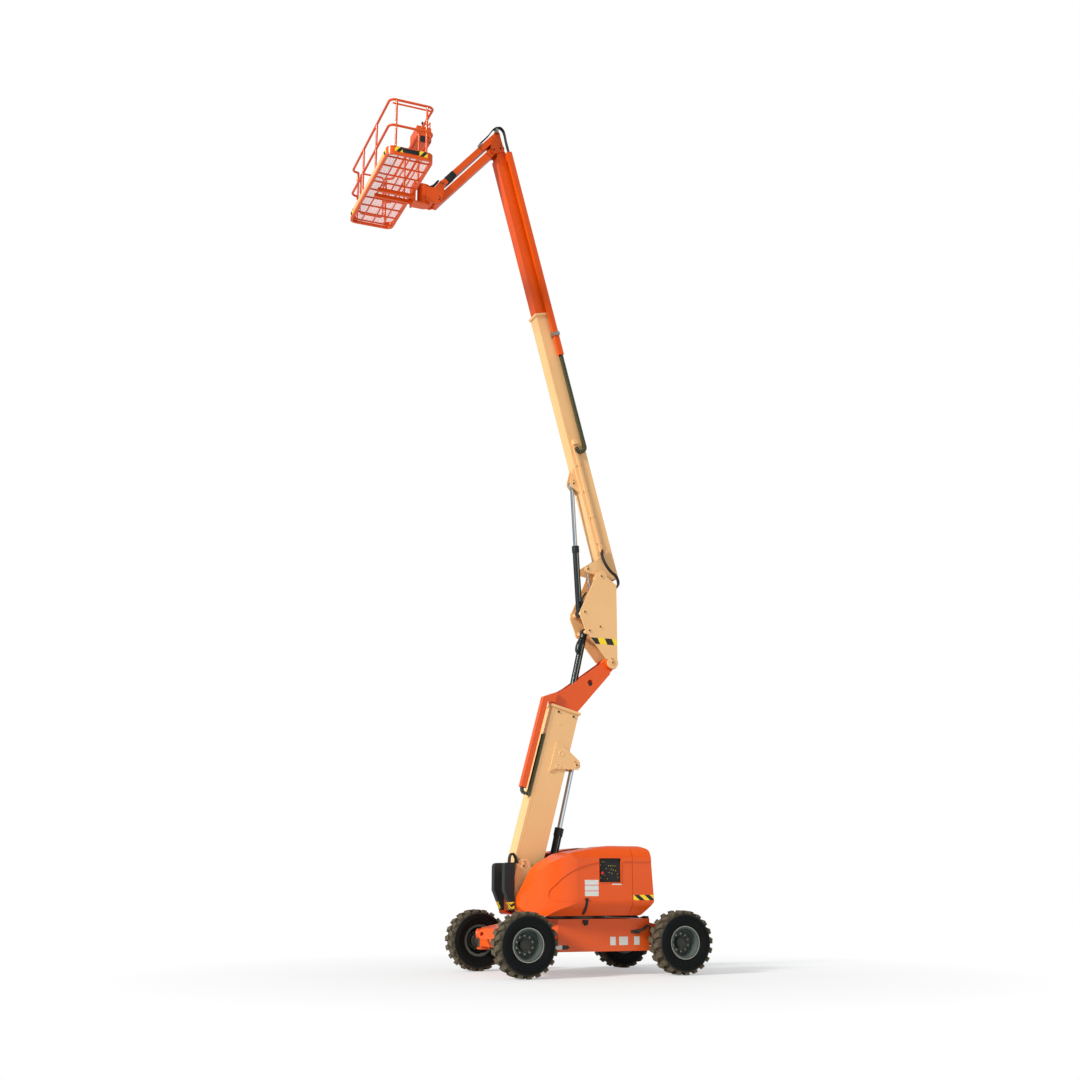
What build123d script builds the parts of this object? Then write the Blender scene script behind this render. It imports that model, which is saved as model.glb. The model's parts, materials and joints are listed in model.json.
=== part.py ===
from build123d import *
import math
import os

# An articulating boom lift, boom raised, in millimetres.
# X points forward, Y to the left, Z up, with the origin on the ground under the swing axis.

# Driving dimensions: running gear
wheel_base = 2490
track = 2060
tyre_radius = 460
tyre_width = 350
rim_radius = 240
kingpin_half = 760
steer_arm = 190
steer_drift = 17

# Driving dimensions: chassis and turntable
chassis_bottom = 340
chassis_top = 800
chassis_half = 780
chassis_front = 740
chassis_rear = -860
end_half = 300
end_bottom = 560
end_top = 665
end_reach = 1420
lug_hole_x = 1545
lug_hole_y = 85
lug_hole_z = 586
lug_hole_radius = 30
lug_turn = 40
bearing_radius = 470
bearing_height = 50
deck_thickness = 30
cheek_inner = 195
cheek_thickness = 30
hood_inner = 290
hood_outer = 1020
hood_wall = 22
hood_front = 1095
hood_seam = -476
hood_top = 1850
hood_bottom = 845
rear_end = -830

# Driving dimensions: booms
tower_pivot = (945, 1559)
tower_angle = 105
tower_front = 140
tower_rear = -320
tower_half = 150
tower_length = 2520
boom_wall = 8
upright_pin = (-584, 4734)
upright_inner = 190
upright_plate = 25
boom_pivot = (-403, 6143)
boom_angle = 75
boom_upper = -340
boom_lower = -70
boom_half = 125
boom_length = 4600
fly_start = 2950
fly_tip = 7640
fly_upper = -320
fly_lower = -90
fly_half = 105
pad_gap = 0.5
pin_gap = 0.3
gland_ratio = 1.15
eye_ratio = 1.05
bore_ratio = 0.55

# Driving dimensions: jib and platform
jib_root = (1500, 13520)
jib_length = 1500
jib_angle = -50
link_offset = 320
link_offset_angle = 100
rotator_reach = 236
platform_gap = 200
platform_width = 760
platform_length = 2440
floor_height = 12420
rail_height = 950
rail_radius = 20
post_radius = 18
toe_height = 100

half_base = wheel_base / 2
half_track = track / 2
deck_bottom = chassis_top + bearing_height
deck_top = deck_bottom + deck_thickness
platform_rear = jib_root[0] + jib_length * math.cos(math.radians(jib_angle)) + rotator_reach + platform_gap
platform_front = platform_rear + platform_width
platform_half = platform_length / 2
rail_top = floor_height + rail_height


def unit(angle):
    # Direction in the X, Z plane at an angle from forward
    return math.cos(math.radians(angle)), math.sin(math.radians(angle))


def shift(point, along, angle, across=0):
    # Point moved along an angle, then across it, to its right
    ux, uz = unit(angle)
    return point[0] + along * ux + across * uz, point[1] + along * uz - across * ux


def tower_at(along, across):
    return shift(tower_pivot, along, tower_angle, across)


def boom_at(along, across):
    return shift(boom_pivot, along, boom_angle, across)


def side_plane(y):
    # Sketch plane with X and Z as its axes, which extrudes towards the right
    return Plane.XZ.offset(-y)


def slanted_plane(point, angle, y=0):
    # Sketch plane of a boom: x along it, y across it, extruding towards the left
    ux, uz = unit(angle)
    return Plane(origin=(point[0], y, point[1]), x_dir=(ux, 0, uz), z_dir=(0, 1, 0))


def end_plane(point, angle, y=0):
    # Plane square to a direction in the X, Z plane
    ux, uz = unit(angle)
    return Plane(origin=(point[0], y, point[1]), x_dir=(0, 1, 0), z_dir=(ux, 0, uz))


def span(start, end):
    return math.dist(start, end)


def bearing_of(start, end):
    return math.degrees(math.atan2(end[1] - start[1], end[0] - start[0]))


def cross_rod(point, radius, low, high):
    # Round bar along Y, added to the part that is open
    with BuildSketch(side_plane(high)) as end:
        with Locations(point):
            Circle(radius)
    extrude(end.sketch, amount=high - low)


def cross_bore(point, radius, reach):
    # Round hole along Y, through everything within reach
    with BuildSketch(Plane.XZ) as end:
        with Locations(point):
            Circle(radius)
    extrude(end.sketch, amount=reach, both=True, mode=Mode.SUBTRACT)


def plate_pair(inner, thickness, outline, bosses=()):
    # Two like plates, left and right, from corner points and round bosses
    for low in (inner, -inner - thickness):
        with BuildSketch(side_plane(low + thickness)) as plate:
            Polygon(*outline, align=None)
            for centre, radius in bosses:
                with Locations(centre):
                    Circle(radius)
        extrude(plate.sketch, amount=thickness)


def box_between(x_range, y_range, z_range, mode=Mode.ADD):
    # Block from its least and greatest X, Y and Z
    low = (x_range[0], y_range[0], z_range[0])
    high = (x_range[1], y_range[1], z_range[1])
    middle = tuple((a + b) / 2 for a, b in zip(low, high))
    with Locations(middle):
        Box(*[b - a for a, b in zip(low, high)], mode=mode)


def square_tube(plane, low, high, half, wall, length):
    # Rectangular tube along a boom: low and high across it, half its width
    with BuildSketch(plane) as section:
        with Locations((0, (low + high) / 2)):
            Rectangle(2 * half, high - low)
            Rectangle(2 * (half - wall), high - low - 2 * wall, mode=Mode.SUBTRACT)
    extrude(section.sketch, amount=length)


def barrel(base, tip, length, radius, rod_radius, pin_radius, eye_half, y=0):
    # Cylinder barrel with a bored eye at its base
    angle = bearing_of(base, tip)
    floor = 2 * pin_radius + eye_half
    with BuildPart() as body:
        with BuildSketch(end_plane(base, angle, y)):
            Circle(radius)
        extrude(amount=length)
        with BuildSketch(end_plane(shift(base, length - 2 * radius, angle), angle, y)):
            Circle(radius * gland_ratio)
        extrude(amount=2 * radius)
        cross_rod(base, radius * eye_ratio, y - eye_half, y + eye_half)
        with BuildSketch(side_plane(y + radius + 1)):
            with Locations(base):
                Circle(pin_radius + pin_gap)
        extrude(amount=2 * radius + 2, mode=Mode.SUBTRACT)
        with BuildSketch(end_plane(shift(base, floor, angle), angle, y)):
            Circle(rod_radius + pin_gap)
        extrude(amount=length, mode=Mode.SUBTRACT)
    return body.part


def rod(base, tip, length, radius, eye_radius, eye_half, y=0):
    # Cylinder rod that ends in an eye at the tip
    angle = bearing_of(tip, base)
    with BuildPart() as body:
        with BuildSketch(end_plane(tip, angle, y)):
            Circle(radius)
        extrude(amount=length)
        cross_rod(tip, eye_radius, y - eye_half, y + eye_half)
        with BuildSketch(side_plane(y + eye_half + 1)):
            with Locations(tip):
                Circle(eye_radius * bore_ratio)
        extrude(amount=2 * eye_half + 2, mode=Mode.SUBTRACT)
    return body.part


os.makedirs("parts", exist_ok=True)

# Chassis: middle box with its front corners cut for the steered tyres, low ends over the axles, tie-down lugs
corner_length = 120
corner_width = 220
lug_plate = 30
lug_round = 70
lug_root = 240
lug_cos, lug_sin = unit(lug_turn)
with BuildPart() as chassis_frame:
    with BuildSketch(Plane.XY.offset(chassis_bottom)):
        Polygon(
            (chassis_rear, -chassis_half),
            (chassis_front - corner_length, -chassis_half),
            (chassis_front, corner_width - chassis_half),
            (chassis_front, chassis_half - corner_width),
            (chassis_front - corner_length, chassis_half),
            (chassis_rear, chassis_half),
            align=None,
        )
    extrude(amount=chassis_top - chassis_bottom)
    for side in (1, -1):
        with BuildSketch(Plane.XZ):
            Polygon(
                (0, chassis_top),
                (side * chassis_front, chassis_top),
                (side * end_reach, end_top),
                (side * end_reach, end_bottom),
                (0, end_bottom),
                align=None,
            )
        extrude(amount=end_half, both=True)
        for hand in (1, -1):
            lug_plane = Plane(
                origin=(side * lug_hole_x, hand * lug_hole_y, lug_hole_z),
                x_dir=(side * lug_sin, -hand * lug_cos, 0),
                z_dir=(side * lug_cos, hand * lug_sin, 0),
            )
            with BuildSketch(lug_plane):
                Circle(lug_round)
                with Locations((-lug_root / 2, 0)):
                    Rectangle(lug_root, 2 * lug_round)
                Circle(lug_hole_radius, mode=Mode.SUBTRACT)
            extrude(amount=lug_plate / 2, both=True)
chassis_frame.part.label = "chassis_frame"
export_step(chassis_frame.part, "parts/chassis_frame.step")

# Swing bearing between chassis and turntable
bearing_breadth = 90
with BuildPart() as swing_bearing:
    with BuildSketch(Plane.XY.offset(chassis_top)):
        Circle(bearing_radius)
        Circle(bearing_radius - bearing_breadth, mode=Mode.SUBTRACT)
    extrude(amount=bearing_height)
swing_bearing.part.label = "swing_bearing"
export_step(swing_bearing.part, "parts/swing_bearing.step")

# Axles: box beams under the chassis ends, forked in front for the knuckles
axle_height = tyre_radius
beam_half = 75
fork_gap = 95
fork_plate = 30
fork_root = 120
fork_wall = 40
fork_reach = fork_gap + fork_plate
kingpin_radius = 32
hub_face = half_track - 45
seat_half = 120
front_seat_half = 90
with BuildPart() as front_axle:
    box_between(
        (half_base - beam_half, half_base + beam_half),
        (fork_root - kingpin_half, kingpin_half - fork_root),
        (axle_height - beam_half, axle_height + beam_half),
    )
    box_between(
        (half_base - seat_half, half_base + seat_half),
        (-front_seat_half, front_seat_half),
        (axle_height, end_bottom),
    )
    for side in (1, -1):
        box_between(
            (half_base - beam_half, half_base + beam_half),
            sorted((side * (kingpin_half - fork_root - fork_wall), side * (kingpin_half - fork_root))),
            (axle_height - fork_reach, axle_height + fork_reach),
        )
        for level in (axle_height - fork_reach, axle_height + fork_gap):
            with BuildSketch(Plane.XY.offset(level)):
                with Locations((half_base, side * (kingpin_half - fork_root / 2))):
                    Rectangle(2 * beam_half, fork_root)
                with Locations((half_base, side * kingpin_half)):
                    Circle(beam_half)
                    Circle(kingpin_radius + pin_gap, mode=Mode.SUBTRACT)
            extrude(amount=fork_plate)
front_axle.part.label = "front_axle"
export_step(front_axle.part, "parts/front_axle.step")

spindle_radius = 50
spindle_length = 24
housing_radius = 120
rear_beam_end = 700
rear_seat_half = 300
with BuildPart() as rear_axle:
    centre = (-half_base, axle_height)
    box_between(
        (-half_base - beam_half, -half_base + beam_half),
        (-rear_beam_end, rear_beam_end),
        (axle_height - beam_half, axle_height + beam_half),
    )
    box_between(
        (-half_base - seat_half, -half_base + seat_half),
        (-rear_seat_half, rear_seat_half),
        (axle_height, end_bottom),
    )
    cross_rod(centre, housing_radius, rear_beam_end, hub_face)
    cross_rod(centre, housing_radius, -hub_face, -rear_beam_end)
    cross_rod(centre, spindle_radius - pin_gap, -hub_face - spindle_length, hub_face + spindle_length)
rear_axle.part.label = "rear_axle"
export_step(rear_axle.part, "parts/rear_axle.step")

# Steering: a double-ended cylinder on the front axle, its rod above the knuckles' arms
steer_x = half_base - steer_arm + steer_drift
steer_z = axle_height + 45
steer_rod_radius = 18
steer_barrel_radius = 42
steer_barrel_half = 230
steer_foot_y = 150
steer_foot_half = 30
with BuildPart() as steer_cylinder:
    cross_rod((steer_x, steer_z), steer_barrel_radius, -steer_barrel_half, steer_barrel_half)
    for y in (-steer_foot_y, steer_foot_y):
        box_between(
            (steer_x, half_base - beam_half),
            (y - steer_foot_half, y + steer_foot_half),
            (steer_z - steer_foot_half, steer_z + steer_foot_half),
        )
    cross_bore((steer_x, steer_z), steer_rod_radius + pin_gap, steer_barrel_half)
steer_cylinder.part.label = "steer_cylinder"
export_step(steer_cylinder.part, "parts/steer_cylinder.step")

steer_eye_radius = 34
steer_eye = 36
with BuildPart() as steer_rod:
    cross_rod((steer_x, steer_z), steer_rod_radius, -kingpin_half, kingpin_half)
    with BuildSketch(Plane.XY.offset(steer_z - steer_eye / 2)):
        with Locations((steer_x, -kingpin_half), (steer_x, kingpin_half)):
            Circle(steer_eye_radius)
    extrude(amount=steer_eye)
steer_rod.part.label = "steer_rod"
export_step(steer_rod.part, "parts/steer_rod.step")

# Knuckles: kingpin, drive housing inside the rim, spindle and steering arm
knuckle_gap = 5
neck_length = 100
neck_overlap = 10
arm_breadth = 60
arm_drop = 20
for name, side in (("left", 1), ("right", -1)):
    with BuildPart() as knuckle:
        with BuildSketch(Plane.XY.offset(axle_height - fork_gap + knuckle_gap)):
            with Locations((half_base, side * kingpin_half)):
                Circle(beam_half - knuckle_gap)
        extrude(amount=2 * (fork_gap - knuckle_gap))
        with BuildSketch(Plane.XY.offset(axle_height - fork_reach)):
            with Locations((half_base, side * kingpin_half)):
                Circle(kingpin_radius)
        extrude(amount=2 * fork_reach)
        centre = (half_base, axle_height)
        neck_end = kingpin_half + neck_length
        cross_rod(centre, fork_gap - 2 * knuckle_gap, *sorted((side * kingpin_half, side * neck_end)))
        cross_rod(centre, housing_radius, *sorted((side * (neck_end - neck_overlap), side * hub_face)))
        spindle_end = hub_face + spindle_length
        cross_rod(centre, spindle_radius - pin_gap, *sorted((side * hub_face, side * spindle_end)))
        with BuildSketch(Plane.XY.offset(axle_height - arm_drop)):
            with Locations((half_base - steer_arm / 2, side * kingpin_half)):
                Rectangle(steer_arm, arm_breadth)
            with Locations((half_base - steer_arm, side * kingpin_half)):
                Circle(steer_eye_radius)
        extrude(amount=steer_eye)
    knuckle.part.label = f"knuckle_{name}"
    export_step(knuckle.part, f"parts/knuckle_{name}.step")

# One wheel about its own centre, turning about Y: dished rim and lugged tyre
rim_half = 150
rim_edge = 11
rim_sheet = 12
bead_radius = rim_radius - 25
dish_step = 50
dish_slope = 30
dish_foot = 140
bolt_land = 120
disc_inner = -43
disc_plate = 22
hub_radius = 88
hub_length = 70
disc_outer = disc_inner + disc_plate
rim_inside = bead_radius - rim_sheet
with BuildPart() as rim_form:
    with BuildSketch(Plane.XY):
        Polygon(
            (bead_radius, -rim_half),
            (rim_radius, -rim_half),
            (rim_radius, rim_edge - rim_half),
            (bead_radius, rim_edge - rim_half),
            (bead_radius, rim_half - rim_edge),
            (rim_radius, rim_half - rim_edge),
            (rim_radius, rim_half),
            (rim_inside, rim_half),
            (bead_radius - dish_slope, dish_step + rim_sheet),
            (dish_foot + rim_sheet, disc_outer + disc_plate),
            (bolt_land, disc_outer),
            (spindle_radius, disc_outer),
            (spindle_radius, disc_inner),
            (dish_foot, disc_inner),
            (rim_inside - dish_slope, dish_step),
            (rim_inside, dish_step),
            (rim_inside, -rim_half),
            align=None,
        )
    revolve(axis=Axis.Y)
    with BuildSketch(side_plane(disc_outer + hub_length)):
        Circle(hub_radius)
    extrude(amount=hub_length)

lug_count = 20
lug_length = 140
lug_breadth = 72
lug_slant = 14
lug_foot = 385
lug_middle = 81
lug_sink = 3
carcass_radius = 424
shoulder_radius = 400
bulge_radius = 335
shoulder = tyre_width / 2
bead = rim_half - rim_sheet
bead_lip = 3
bead_fillet = 14
with BuildPart() as tyre_form:
    tyre_half = (
        (bead_radius + pin_gap, bead),
        (rim_radius + bead_lip, bead),
        (rim_radius + bead_fillet, shoulder - bead_fillet),
        (bulge_radius, shoulder),
        (shoulder_radius, shoulder - bead_fillet),
        (carcass_radius, shoulder - 3 * bead_fillet),
    )
    with BuildSketch(Plane.XY):
        Polygon(*tyre_half, *[(radius, -y) for radius, y in reversed(tyre_half)], align=None)
    revolve(axis=Axis.Y)
    for side in (1, -1):
        turns = [360 / lug_count * (turn + side / 4) for turn in range(lug_count)]
        with BuildSketch(*[Plane.XY.rotated((0, turn, 0)).offset(lug_foot) for turn in turns]):
            with Locations(Location((0, side * lug_middle, 0), (0, 0, side * lug_slant))):
                Rectangle(lug_breadth, lug_length)
        extrude(amount=tyre_radius - lug_sink - lug_foot)

for row, x in (("front", half_base), ("rear", -half_base)):
    for name, side in (("left", 1), ("right", -1)):
        turn = 0 if side > 0 else 180
        place = Location((x, side * half_track, axle_height), (0, 0, turn))
        with BuildPart() as rim:
            add(rim_form.part.moved(place))
        rim.part.label = f"rim_{row}_{name}"
        export_step(rim.part, f"parts/rim_{row}_{name}.step")
        with BuildPart() as tyre:
            add(tyre_form.part.moved(place))
        tyre.part.label = f"tyre_{row}_{name}"
        export_step(tyre.part, f"parts/tyre_{row}_{name}.step")

# Turntable frame: deck, two cheeks that carry the tower, and the lift cylinder's pin
lift_base = (540, 965)
lift_pin = 35
deck_half = 780
deck_front = 700
bar_front = -700
cheek_outer = cheek_inner + cheek_thickness
cheek_front = 1110
cheek_brow = 1300
cheek_tail = 1160
cheek_boss = 115
front_floor = 915
front_rise = 250
tower_pin = 45
hinge_y = 262
hinge_z = 1834
hinge_pin = 8
hinge_boss = 14
hinge_half = 60
hinge_plate = 20
hinge_foot = 1000
hinge_places = (-400, -200)
with BuildPart() as turntable_frame:
    box_between((hood_seam, deck_front), (-deck_half, deck_half), (deck_bottom, deck_top))
    box_between((bar_front, hood_seam), (-cheek_outer, cheek_outer), (deck_bottom, deck_top))
    plate_pair(
        cheek_inner,
        cheek_thickness,
        (
            (bar_front, deck_bottom),
            (deck_front, deck_bottom),
            (deck_front + front_rise, front_floor),
            (cheek_front, front_floor),
            (cheek_front, cheek_brow),
            (tower_pivot[0] + cheek_boss, tower_pivot[1]),
            (tower_pivot[0] - cheek_boss, tower_pivot[1]),
            (lift_base[0], cheek_brow),
            (bar_front, cheek_tail),
        ),
        ((tower_pivot, cheek_boss),),
    )
    cross_bore(tower_pivot, tower_pin + pin_gap, cheek_outer)
    cross_rod(lift_base, lift_pin, -cheek_inner, cheek_inner)
    for side in (1, -1):
        for x in hinge_places:
            box_between(
                (x - hinge_half, x + hinge_half),
                sorted((side * cheek_outer, side * (cheek_outer + hinge_plate))),
                (hinge_foot, hinge_z + hinge_boss),
            )
            for ear in (x - hinge_half, x + hinge_half - hinge_plate):
                box_between(
                    (ear, ear + hinge_plate),
                    sorted((side * cheek_outer, side * (hinge_y + hinge_boss))),
                    (hinge_z - 2 * hinge_boss, hinge_z + hinge_boss),
                )
            with BuildSketch(Plane.YZ.offset(x - hinge_half)):
                with Locations((side * hinge_y, hinge_z)):
                    Circle(hinge_pin)
            extrude(amount=2 * hinge_half)
turntable_frame.part.label = "turntable_frame"
export_step(turntable_frame.part, "parts/turntable_frame.step")

# Front boxes on either side of the tower's foot, cut back below
front_box_top = 1610
front_box_depth = 160
front_box_knee = 1210
front_box_sole = 35
front_box_round = 60
front_box_inner = tower_half + 15
front_box_outer = hood_inner - 10
with BuildPart() as front_boxes:
    for side in (1, -1):
        with BuildSketch(side_plane(side * front_box_outer)):
            with BuildLine():
                FilletPolyline(
                    (cheek_front, front_floor),
                    (cheek_front + front_box_sole, front_floor),
                    (cheek_front + front_box_depth, front_box_knee),
                    (cheek_front + front_box_depth, front_box_top),
                    (cheek_front, front_box_top),
                    radius=(0, 0, front_box_round, front_box_round, 0),
                    close=True,
                )
            make_face()
        extrude(amount=side * (front_box_outer - front_box_inner))
front_boxes.part.label = "front_boxes"
export_step(front_boxes.part, "parts/front_boxes.step")


nose_start = 350
nose_height = 1110
brow = (845, 1560)
crown = (500, 1745)
crest = -150
lip_front = 860
plan_margin = 3
side_tuck = 170
side_foot = 155
shoulder_round = 210
tuck_round = 40
foot_round = 120
chin_round = 190
nose_round = 120
brow_round = 300
crown_round = 500
crest_round = 600


def hood_section(inset):
    # Cross section of the hoods: tucked in below, upright side, round shoulder
    inner = hood_inner - 1 if inset else hood_inner
    floor = hood_bottom - 1 if inset else hood_bottom
    with BuildLine() as outline:
        FilletPolyline(
            (inner, floor),
            (hood_outer - side_tuck - inset, floor),
            (hood_outer - inset, hood_bottom + side_foot),
            (hood_outer - inset, hood_top - inset),
            (inner, hood_top - inset),
            radius=(0, tuck_round, foot_round, shoulder_round - inset, 0),
            close=True,
        )
    return outline.edges()


def hood_side(inset):
    # Side outline of a hood, high at the seam and falling to a round nose; inset, it is open below
    rear = hood_seam - 1 if inset else hood_seam
    tip = hood_front - inset
    floor = hood_bottom + inset
    mouth = [(rear, floor)]
    if inset:
        mouth = [(rear, hood_bottom - 1), (lip_front, hood_bottom - 1), (lip_front, floor)]
    with BuildLine() as outline:
        FilletPolyline(
            *mouth,
            (tip, floor),
            (tip, nose_height - inset / 4),
            (brow[0] - 3 * inset / 4, brow[1] - 3 * inset / 4),
            (crown[0] - inset / 3, crown[1] - inset),
            (crest, hood_top - inset),
            (rear, hood_top - inset),
            radius=(
                *[0] * len(mouth),
                chin_round - inset,
                nose_round,
                brow_round,
                crown_round,
                crest_round,
                0,
            ),
            close=True,
        )
    return outline.edges()


def hood_plan(inset):
    # Plan outline of a hood, drawn a little wide, with a side that rounds into the nose
    inner = hood_inner - plan_margin
    rear = hood_seam - plan_margin
    outer = hood_outer - inset + plan_margin
    length = hood_front - inset - nose_start
    with BuildLine() as outline:
        nose = EllipticalCenterArc((nose_start, inner), length, outer - inner, arc_size=90)
        Polyline(nose @ 1, (rear, outer), (rear, inner), nose @ 0)
    return outline.edges()


def hood_form(inset):
    # Solid bounded by the hood's side outline, its cross section and its plan
    with BuildPart() as body:
        with BuildSketch(side_plane(hood_outer)):
            make_face(hood_side(inset))
        extrude(amount=hood_outer - hood_inner + 1)
        with BuildSketch(Plane.YZ.offset(hood_seam - 1)):
            make_face(hood_section(inset))
        extrude(amount=hood_front - hood_seam + 2, mode=Mode.INTERSECT)
        with BuildSketch(Plane.XY.offset(hood_bottom - hood_wall)):
            make_face(hood_plan(inset))
        extrude(amount=hood_top - hood_bottom + 2 * hood_wall, mode=Mode.INTERSECT)
    return body.part


# Hoods: shells hinged along their inner upper edge, with a sunk side panel that follows the nose
panel_x = (-287, 58)
panel_z = (1326, 1661)
panel_gap = 6
recess_depth = 9
recess_low = 1060
recess_high = 1616
recess_inner = 600
recess_toe = (715, recess_low)
recess_chin = (785, 1098)
recess_tip = (800, 1190)
recess_brow = (500, 1470)
recess_shoulder = (90, 1600)
knuckle_half = hinge_half - hinge_plate - 4
with BuildPart() as recess:
    with BuildSketch(side_plane(hood_outer + 1)):
        with BuildLine():
            swoop = ThreePointArc(recess_tip, recess_brow, recess_shoulder)
            Polyline(
                swoop @ 1,
                (hood_seam - 1, recess_high),
                (hood_seam - 1, recess_low),
                recess_toe,
            )
            ThreePointArc(recess_toe, recess_chin, recess_tip)
        make_face()
    extrude(amount=hood_outer + 1 - recess_inner)
    add(hood_form(recess_depth), mode=Mode.SUBTRACT)

with BuildPart() as hood_shell:
    add(hood_form(0))
    add(hood_form(hood_wall), mode=Mode.SUBTRACT)
    add(recess.part, mode=Mode.SUBTRACT)
    for x in hinge_places:
        with BuildSketch(Plane.YZ.offset(x - knuckle_half)):
            with Locations((hinge_y, hinge_z)):
                Circle(hinge_boss)
            with Locations(((hinge_y + hood_inner + 1) / 2, hinge_z)):
                Rectangle(hood_inner + 1 - hinge_y, hinge_boss)
            with Locations((hinge_y, hinge_z)):
                Circle(hinge_pin + pin_gap, mode=Mode.SUBTRACT)
        extrude(amount=2 * knuckle_half)

with BuildPart() as hood_left:
    add(hood_shell.part)
    box_between(
        (panel_x[0] - panel_gap, panel_x[1] + panel_gap),
        (hood_outer - 2 * hood_wall, hood_outer + 1),
        (panel_z[0] - panel_gap, panel_z[1] + panel_gap),
        mode=Mode.SUBTRACT,
    )
hood_left.part.label = "hood_left"
export_step(hood_left.part, "parts/hood_left.step")

with BuildPart() as hood_right:
    mirror(hood_shell.part, about=Plane.XZ)
hood_right.part.label = "hood_right"
export_step(hood_right.part, "parts/hood_right.step")

# Rear counterweight: one casting, two lobes in the hoods' outline and a low bar between them
seam_gap = 6
bar_top = 985
bar_step = 5
tail_floor = 1050
tail_brow = 1800
tail_lean = 50
tail_toe = 150
tail_round = 60
with BuildPart() as rear_counterweight:
    for side in (1, -1):
        with BuildSketch(side_plane(side * hood_outer)):
            with BuildLine():
                FilletPolyline(
                    (hood_seam - seam_gap, hood_bottom),
                    (rear_end + tail_toe, hood_bottom),
                    (rear_end, tail_floor),
                    (rear_end + tail_lean, tail_brow),
                    (rear_end + tail_toe + tail_lean / 2, hood_top),
                    (hood_seam - seam_gap, hood_top),
                    radius=(0, tail_round, tail_round, tail_round, 2 * tail_round, 0),
                    close=True,
                )
            make_face()
        extrude(amount=side * (hood_outer - cheek_outer))
        box_between(
            (rear_end - 1, hood_seam),
            sorted((side * (hood_outer - recess_depth), side * (hood_outer + 1))),
            (recess_low, recess_high),
            mode=Mode.SUBTRACT,
        )
    with BuildSketch(Plane.YZ.offset(rear_end - 1)):
        make_face(hood_section(0))
        mirror(about=Plane.YZ)
        with Locations((0, (hood_bottom + hood_top) / 2)):
            Rectangle(2 * hood_inner + 2, hood_top - hood_bottom)
    extrude(amount=hood_seam - rear_end, mode=Mode.INTERSECT)
    box_between((rear_end + bar_step, bar_front), (-cheek_outer, cheek_outer), (hood_bottom, bar_top))
rear_counterweight.part.label = "rear_counterweight"
export_step(rear_counterweight.part, "parts/rear_counterweight.step")

# Heavy and fixed pieces under the hoods
bay_inner = 260
bay_round = 60
engine_x = (-430, 480)
engine_width = 520
engine_top = 1480
with BuildPart() as engine_block:
    box_between(engine_x, (-bay_inner - engine_width, -bay_inner), (deck_top, engine_top))
    fillet(engine_block.edges().filter_by(Axis.X).group_by(Axis.Z)[-1], bay_round)
engine_block.part.label = "engine_block"
export_step(engine_block.part, "parts/engine_block.step")

fuel_x = (130, 640)
fuel_width = 500
fuel_top = 1420
oil_x = (-450, 0)
oil_width = 300
oil_top = 1300
with BuildPart() as fluid_tanks:
    box_between(fuel_x, (bay_inner, bay_inner + fuel_width), (deck_top, fuel_top))
    box_between(oil_x, (bay_inner, bay_inner + oil_width), (deck_top, oil_top))
    fillet(fluid_tanks.edges().filter_by(Axis.Z), bay_round)
fluid_tanks.part.label = "fluid_tanks"
export_step(fluid_tanks.part, "parts/fluid_tanks.step")

panel_back = deck_half
panel_face = hood_outer - hood_wall - 13
panel_post = 90
panel_middle = sum(panel_x) / 2
with BuildPart() as control_panel:
    box_between(panel_x, (panel_back, panel_face), panel_z)
    box_between(
        (panel_middle - panel_post / 2, panel_middle + panel_post / 2),
        (panel_back - panel_post, panel_back),
        (deck_top, panel_z[1]),
    )
control_panel.part.label = "control_panel"
export_step(control_panel.part, "parts/control_panel.step")

# Tower base: square tube with a collar, foot pin and lift bracket
lift_along = 1713
lift_eye = tower_at(lift_along, -478)
eye_boss = 62
bracket_plate = 20
eye_half = 50
eye_gap = 8
collar_length = 40
collar_rim = 25
tower_pad = 20
tower_foot = 110
foot_boss = 100
bracket_inner = -60
bracket_outer = -520
bracket_foot = 230
bracket_knee = 150
bracket_nose = 65
bracket_rise = 250
tower_middle = -(tower_front + tower_rear) / 2
tower_depth = tower_front - tower_rear
with BuildPart() as tower_base:
    square_tube(
        end_plane(tower_at(-tower_foot, 0), tower_angle),
        -tower_front,
        -tower_rear,
        tower_half,
        boom_wall,
        tower_length + tower_foot,
    )
    cross_rod(tower_pivot, foot_boss, -tower_half, tower_half)
    cross_rod(tower_pivot, tower_pin, -cheek_outer, cheek_outer)
    with BuildSketch(end_plane(tower_at(tower_length - collar_length, 0), tower_angle)):
        with Locations((0, tower_middle)):
            Rectangle(2 * (tower_half + collar_rim), tower_depth + 2 * collar_rim)
            Rectangle(
                2 * (tower_half - tower_pad + pad_gap),
                tower_depth - 2 * (tower_pad - pad_gap),
                mode=Mode.SUBTRACT,
            )
    extrude(amount=collar_length)
    plate_pair(
        tower_half,
        bracket_plate,
        (
            tower_at(lift_along - bracket_foot, bracket_inner),
            tower_at(lift_along - bracket_knee, -tower_half),
            tower_at(lift_along - bracket_nose, bracket_outer),
            tower_at(lift_along + bracket_nose, bracket_outer),
            tower_at(lift_along + bracket_rise, -tower_half),
            tower_at(lift_along + bracket_rise, bracket_inner),
        ),
        ((lift_eye, eye_boss),),
    )
    for low, high in ((eye_half + eye_gap, tower_half), (-tower_half, -eye_half - eye_gap)):
        cross_rod(lift_eye, eye_half, low, high)
tower_base.part.label = "tower_base"
export_step(tower_base.part, "parts/tower_base.step")

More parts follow.
